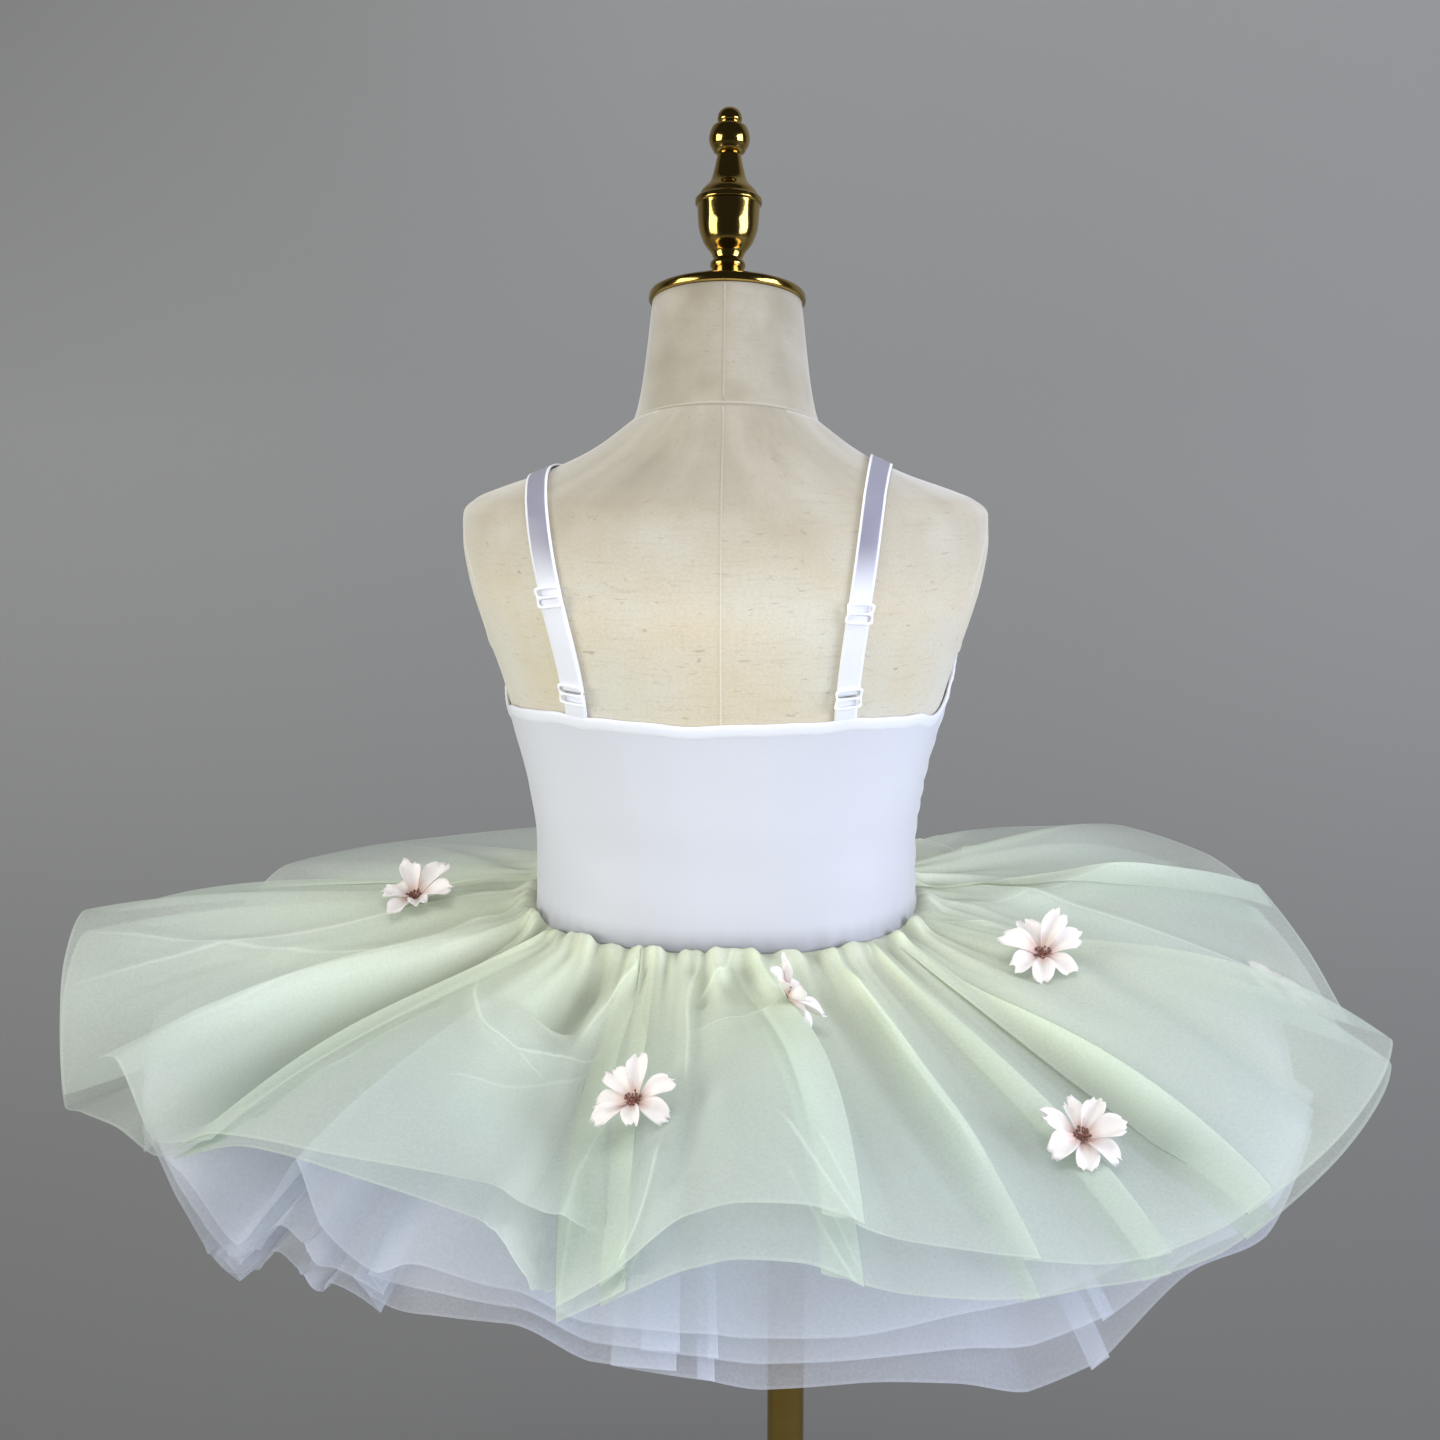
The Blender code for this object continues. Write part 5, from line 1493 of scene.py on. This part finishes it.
def build_skirt():
    """Two green layers over three white ones, each hung clear of the one above."""
    look = bpy.context.scene.tutu_cloth
    green = tulle(
        "sage_tulle", tuple(look.green_waist), tuple(look.green_hem), look.green_density,
        seam_density=0.45, hem_density=0.10, translucent=0.37,
    )
    white = tulle(
        "ice_white_tulle", tuple(look.white_net), tuple(look.white_net), look.white_density,
        seam_density=0.45, hem_density=0.05, translucent=0.24,
    )
    depth = look.gather_depth
    creases = list(CREASES) + front_creases()
    start = -SEAM_DIP - LAYER_STEP
    outer = Layer(GREEN_FOLDS, 64, 0.0018, 0, start, 1.0, depth, creases)
    under = Layer(GREEN_FOLDS, 44, 0.0026, 1, start, 1.0, depth, creases)
    under.z -= under.under * under.v ** 1.2
    under.hang_under(outer, 0.0014)
    low_start = -SEAM_DIP - 5 * LAYER_STEP
    whites = []
    above = under
    for level, (share, turn, tucked) in enumerate(WHITE_LAYERS):
        folds = [
            row._replace(
                hem=row.hem + turn, waist=row.waist + turn * 0.8, tuck=row.tuck * tucked,
                crease=row.crease * (0.3 + 0.7 * tucked),
            )
            for row in WHITE_FOLDS
        ]
        layer = Layer(folds, 36, 0.0028, 2 + level, low_start, 2.0 + level, depth * 0.6)
        layer.z += layer.under * share * layer.v
        layer.hang_under(above, 0.0022)
        whites.append(layer)
        above = layer
    sheets = [
        (outer, "tulle_green_outer", green, "tulle_green", "tulle_green_under"),
        (under, "tulle_green_under", green, "tulle_green", "tulle_white_upper"),
        (whites[0], "tulle_white_upper", white, "tulle_white", "tulle_white_middle"),
        (whites[1], "tulle_white_middle", white, "tulle_white", "tulle_white_lower"),
        (whites[2], "tulle_white_lower", white, "tulle_white", "torso_linen"),
    ]
    for layer, name, material, slot, below in sheets:
        shade = 1.0 if material is green else WHITE_SHADE
        obj = layer.build(name, material, slot, [below], shade)
        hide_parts(name.replace("tulle", "skirt"))


# ---- flowers ---------------------------------------------------------------------------------
def petal(length, dice):
    """One notched petal lying along +X from its base, cupped and slightly ruffled."""
    across = np.linspace(-1.0, 1.0, 11)[None, :]
    along = np.linspace(0.0, 1.0, 11)[:, None]
    half = 0.245 * length * dice.uniform(0.80, 1.12)
    width = half * (0.36 + 0.76 * np.sin(math.pi * 0.5 * np.minimum(along / 0.66, 1.0)) ** 1.4)
    width = width * np.sqrt(np.clip(1.0 - np.clip((along - 0.66) / 0.46, 0, 1) ** 2.4, 0.05, 1))
    notch = dice.uniform(0.08, 0.20) * np.exp(-((across - dice.uniform(-0.3, 0.3)) / 0.20) ** 2)
    teeth = 0.045 * np.cos(across * dice.uniform(8.0, 11.0) + dice.uniform(0.0, 3.0))
    skew = dice.uniform(-0.10, 0.10) * across
    reach = along * (1.0 - 0.14 * across ** 2 * along) - (notch - teeth + skew) * along ** 4
    phase = dice.uniform(0.0, math.tau)
    rise = (
        dice.uniform(0.10, 0.42) * along ** 1.6
        + 0.20 * across ** 2 * np.sin(math.pi * along)
        + 0.045 * np.sin(across * 4.2 + phase) * along ** 2
        - dice.uniform(0.0, 0.16) * along ** 4
    )
    swing = dice.uniform(-0.10, 0.10) * length * along ** 2
    points = np.stack((
        0.09 * length + 0.91 * length * reach + 0 * across,
        width * across + swing,
        length * rise,
    ), axis=-1)
    return net(points), grid_uv(np.linspace(0, 1, 11), np.linspace(0, 1, 11))


def flower_mesh(length, petals, dice):
    """Petals round Z, every other one a little lower, with their UVs."""
    parts, uvs = [], []
    for index in range(petals):
        bm, uv = petal(length * dice.uniform(0.80, 1.06), dice)
        turn = math.tau * index / petals + dice.uniform(-0.14, 0.14)
        tilt = Matrix.Rotation(dice.uniform(-0.30, 0.14), 4, "Y")
        lift = Matrix.Translation((0, 0, 0.0006 if index % 2 else 0.0))
        bmesh.ops.transform(
            bm, matrix=Matrix.Rotation(turn, 4, "Z") @ lift @ tilt, verts=bm.verts
        )
        face_up(bm)
        parts.append(bm)
        uvs.append(uv)
    return join_meshes(parts), np.concatenate(uvs)


def stamen_mesh(radius, dice):
    """Cluster of small knobs on short stalks round Z."""
    parts = []
    for index in range(16):
        knob = bmesh.new()
        size = dice.uniform(0.00045, 0.0008)
        bmesh.ops.create_icosphere(knob, subdivisions=2, radius=size)
        out = radius * dice.uniform(0.55, 1.0)
        turn = index * 2.4
        tall = dice.uniform(0.0016, 0.0034)
        top = Vector((out * math.cos(turn), out * math.sin(turn), tall))
        foot = Vector((top.x * 0.4, top.y * 0.4, 0.0003))
        bmesh.ops.translate(knob, vec=top, verts=knob.verts)
        parts.append(knob)
        parts.append(tube_along([foot, foot.lerp(top, 0.5), top], 0.00022, 5, False))
    disc = bmesh.new()
    bmesh.ops.create_uvsphere(disc, u_segments=14, v_segments=8, radius=radius * 0.5)
    bmesh.ops.scale(disc, vec=(1, 1, 0.42), verts=disc.verts)
    bmesh.ops.translate(disc, vec=(0, 0, 0.0006), verts=disc.verts)
    parts.append(disc)
    return join_meshes(parts)


def flower_axis(normal, row):
    """Direction a flower faces: the cloth's own, leaned toward the row's body angle."""
    toward = math.radians(row.toward)
    level = Vector((math.sin(toward), -math.cos(toward), 0.0))
    along = (level - normal * level.dot(normal)).normalized()
    lean = math.radians(row.lean)
    return normal * math.cos(lean) + along * math.sin(lean)


FLOWER_GAP = 0.0004           # between a flower and the net
PETAL_WALL = 0.00035
STAMEN_RADIUS = 0.0040        # of the tuft at a flower's middle
SUNK_GAP = 0.0012             # between the net and a flower under it
SUNK_HEIGHT = 0.35            # share of its height that a flower under the net keeps


def build_flowers():
    """Sewn-on flowers, each lifted until it clears the outer layer."""
    look = bpy.context.scene.tutu_flowers
    cloth = petal_cloth(tuple(look.petal_colour), tuple(look.petal_base))
    thread = stamen_thread(tuple(look.stamen_colour))
    tree = sampled_tree(bpy.data.objects["tulle_green_outer"])
    middle = Vector(waist_middle())
    down = Vector((0, 0, -1))
    sky = WAIST_HEIGHT + 0.5
    for index, row in enumerate(FLOWERS):
        dice = random.Random(11 + index)
        angle = math.radians(row.angle)
        across = Vector((math.sin(angle), -math.cos(angle), 0.0)) * row.radius * MM
        place, normal, _, _ = tree.ray_cast(Vector((middle.x, middle.y, sky)) + across, down)
        facing = normal if row.sunk else flower_axis(normal.lerp(-down, 0.4).normalized(), row)
        turn = Matrix.Rotation(math.radians(row.turn), 4, "Z")
        upright = facing.to_track_quat("Z", "Y").to_matrix().to_4x4()
        matrix = Matrix.Translation(place) @ upright @ turn
        bm, uv = flower_mesh(look.petal_length, dice.choice((7, 7, 8)), dice)
        if row.sunk:
            matrix = matrix @ Matrix.Diagonal((1.0, 1.0, SUNK_HEIGHT, 1.0))
        bmesh.ops.transform(bm, matrix=matrix, verts=bm.verts)
        gaps = []
        for vert in list(bm.verts)[::3]:
            hit = tree.ray_cast(Vector((vert.co.x, vert.co.y, sky)), down)[0]
            if hit is not None:
                gaps.append(hit.z - vert.co.z)
        lift = Vector((0, 0, min(gaps) - SUNK_GAP if row.sunk else max(gaps) + FLOWER_GAP))
        bmesh.ops.translate(bm, vec=lift, verts=bm.verts)
        petals = piece(f"flower_{row.name}_petals", bm, cloth, uv)
        walled(petals, PETAL_WALL)
        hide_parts(f"flower_{row.name}")
        stamens = stamen_mesh(STAMEN_RADIUS, dice)
        bmesh.ops.transform(stamens, matrix=Matrix.Translation(lift) @ matrix, verts=stamens.verts)
        piece(f"flower_{row.name}_stamens", stamens, thread)


# ---- stage -----------------------------------------------------------------------------------
SWEEP_START = 0.42            # where the floor starts to turn up, behind the form
SWEEP_RADIUS = 0.75
FLOOR_DROP = 0.0002           # of the sweep below the base
LIGHT_TARGET = (BODY_X, 0.0, 0.70)
ROOM_LIGHT = 0.55             # strength of the surround
ROOM_MIRRORED = 0.07          # and where a glossy ray meets it: what shines mirrors a darker room
CAMERA_PLACE = (0.0153, -1.4412, 1.075)
CAMERA_TURN = (76.2, 0.0, 2.0)
CAMERA_LENS = 73.6            # millimetres, on a 36 mm sensor


def soft_light(name, place, target, size, power, colour, mirrored=True):
    """Rectangular soft light aimed at a point, not itself in the picture."""
    data = bpy.data.lights.new(name, "AREA")
    data.shape = "RECTANGLE"
    data.size, data.size_y = size
    data.energy = power
    data.color = linear(colour)
    obj = bpy.data.objects.new(name, data)
    obj.location = place
    obj.rotation_euler = (Vector(target) - Vector(place)).to_track_quat("-Z", "Y").to_euler()
    obj.visible_camera = False
    obj.visible_glossy = mirrored
    bpy.context.scene.collection.objects.link(obj)


def build_stage():
    """Paper sweep, soft lights, a grey surround and the camera."""
    look = bpy.context.scene.tutu_stage
    scene = bpy.context.scene
    turn = np.radians(np.linspace(0, 90, 33))
    bend = zip(SWEEP_START + SWEEP_RADIUS * np.sin(turn), SWEEP_RADIUS * (1 - np.cos(turn)))
    wall = SWEEP_START + SWEEP_RADIUS
    profile = [(-4.5, 0.0), (-1.0, 0.0), *bend, (wall, 4.2)]
    across = np.linspace(-5.0, 5.0, 9)
    points = np.array([[(x, y, z - FLOOR_DROP) for x in across] for y, z in profile])
    bm = net(points)
    face_up(bm)
    mesh = bpy.data.meshes.new("backdrop_sweep")
    bm.to_mesh(mesh)
    bm.free()
    mesh.shade_smooth()
    mesh.materials.append(sweep_paper(tuple(look.backdrop_colour)))
    sweep = bpy.data.objects.new("backdrop_sweep", mesh)
    scene.collection.objects.link(sweep)

    body, side = LIGHT_TARGET, look.side_power
    soft_light("left_light", (-2.4, -1.25, 1.2), body, (1.6, 1.6), side * 0.9, "#FFFDF6")
    soft_light("right_light", (2.4, -1.1, 1.2), body, (1.6, 1.6), side * 1.35, "#E6ECFF")
    soft_light("front_light", (0.0, -3.2, 1.0), body, (2.4, 1.6), side * 0.56, "#FFFFFF", False)
    soft_light("top_light", (0.0, -0.4, 2.6), body, (1.8, 1.4), look.top_power, "#FFFFFF", False)

    world = bpy.data.worlds.new("grey_surround")
    world.use_nodes = True
    ground = world.node_tree.nodes["Background"]
    ground.inputs["Color"].default_value = (*linear("#B4B5B6"), 1.0)
    mirrored = add(world.node_tree, "LightPath").outputs["Is Glossy Ray"]
    dimmer = ramp(world.node_tree, mirrored, to_low=ROOM_LIGHT, to_high=ROOM_MIRRORED)
    world.node_tree.links.new(dimmer, ground.inputs["Strength"])
    scene.world = world
    scene.view_settings.view_transform = "Standard"
    scene.cycles.transparent_max_bounces = 32
    scene.cycles.diffuse_bounces = 6

    data = bpy.data.cameras.new("camera")
    data.lens = CAMERA_LENS
    data.sensor_width = 36.0
    camera = bpy.data.objects.new("camera", data)
    camera.location = CAMERA_PLACE
    camera.rotation_euler = [math.radians(angle) for angle in CAMERA_TURN]
    scene.collection.objects.link(camera)
    scene.camera = camera


# ---- operators and panel ---------------------------------------------------------------------
class BuildStep:
    """What the operators share: each one builds its own pieces."""

    def execute(self, _context):
        self.build()
        return {"FINISHED"}


class TUTU_OT_form(BuildStep, bpy.types.Operator):
    """Build the linen torso and neck with their seams"""

    bl_idname = "tutu.form"
    bl_label = "Dress form"
    build = staticmethod(build_form)


class TUTU_OT_brass(BuildStep, bpy.types.Operator):
    """Build the brass cap, finial, collar, pole and base"""

    bl_idname = "tutu.brass"
    bl_label = "Brass fittings and stand"
    build = staticmethod(build_brass)


class TUTU_OT_bodice(BuildStep, bpy.types.Operator):
    """Build the bodice panels and their elastic binding"""

    bl_idname = "tutu.bodice"
    bl_label = "Bodice"
    build = staticmethod(build_bodice)


class TUTU_OT_straps(BuildStep, bpy.types.Operator):
    """Build the shoulder straps and their sliders"""

    bl_idname = "tutu.straps"
    bl_label = "Straps"
    build = staticmethod(build_straps)


class TUTU_OT_skirt(BuildStep, bpy.types.Operator):
    """Build the layers of green and white tulle"""

    bl_idname = "tutu.skirt"
    bl_label = "Skirt"
    build = staticmethod(build_skirt)


class TUTU_OT_flowers(BuildStep, bpy.types.Operator):
    """Build the fabric flowers on the skirt"""

    bl_idname = "tutu.flowers"
    bl_label = "Flowers"
    build = staticmethod(build_flowers)


class TUTU_OT_stage(BuildStep, bpy.types.Operator):
    """Build the backdrop, lights and camera"""

    bl_idname = "tutu.stage"
    bl_label = "Stage"
    build = staticmethod(build_stage)


class TUTU_PT_panel(bpy.types.Panel):
    """Settings and steps of the tutu"""

    bl_label = "Ballet tutu"
    bl_idname = "TUTU_PT_panel"
    bl_space_type = "VIEW_3D"
    bl_region_type = "UI"
    bl_category = "Tutu"

    def draw(self, context):
        for name in SETTINGS:
            group = getattr(context.scene, name)
            box = self.layout.box()
            for setting in group.bl_rna.properties:
                if setting.identifier not in ("rna_type", "name"):
                    box.prop(group, setting.identifier)
        for operator in OPERATORS:
            self.layout.operator(operator.bl_idname)


SETTINGS = {
    "tutu_cloth": TutuClothSettings,
    "tutu_form": TutuFormSettings,
    "tutu_flowers": TutuFlowerSettings,
    "tutu_stage": TutuStageSettings,
}
OPERATORS = (
    TUTU_OT_stage, TUTU_OT_form, TUTU_OT_brass, TUTU_OT_bodice, TUTU_OT_straps, TUTU_OT_skirt,
    TUTU_OT_flowers,
)


def register():
    """Register the settings, operators and panel."""
    for name, group in SETTINGS.items():
        bpy.utils.register_class(group)
        setattr(bpy.types.Scene, name, bpy.props.PointerProperty(type=group))
    for operator in OPERATORS:
        bpy.utils.register_class(operator)
    bpy.utils.register_class(TUTU_PT_panel)


def unregister():
    """Take the panel, operators and settings out again."""
    bpy.utils.unregister_class(TUTU_PT_panel)
    for operator in reversed(OPERATORS):
        bpy.utils.unregister_class(operator)
    for name, group in SETTINGS.items():
        delattr(bpy.types.Scene, name)
        bpy.utils.unregister_class(group)


def main():
    """Build everything."""
    register()
    bpy.ops.tutu.stage()
    bpy.ops.tutu.form()
    bpy.ops.tutu.brass()
    bpy.ops.tutu.bodice()
    bpy.ops.tutu.straps()
    bpy.ops.tutu.skirt()
    bpy.ops.tutu.flowers()


if __name__ == "__main__":
    main()
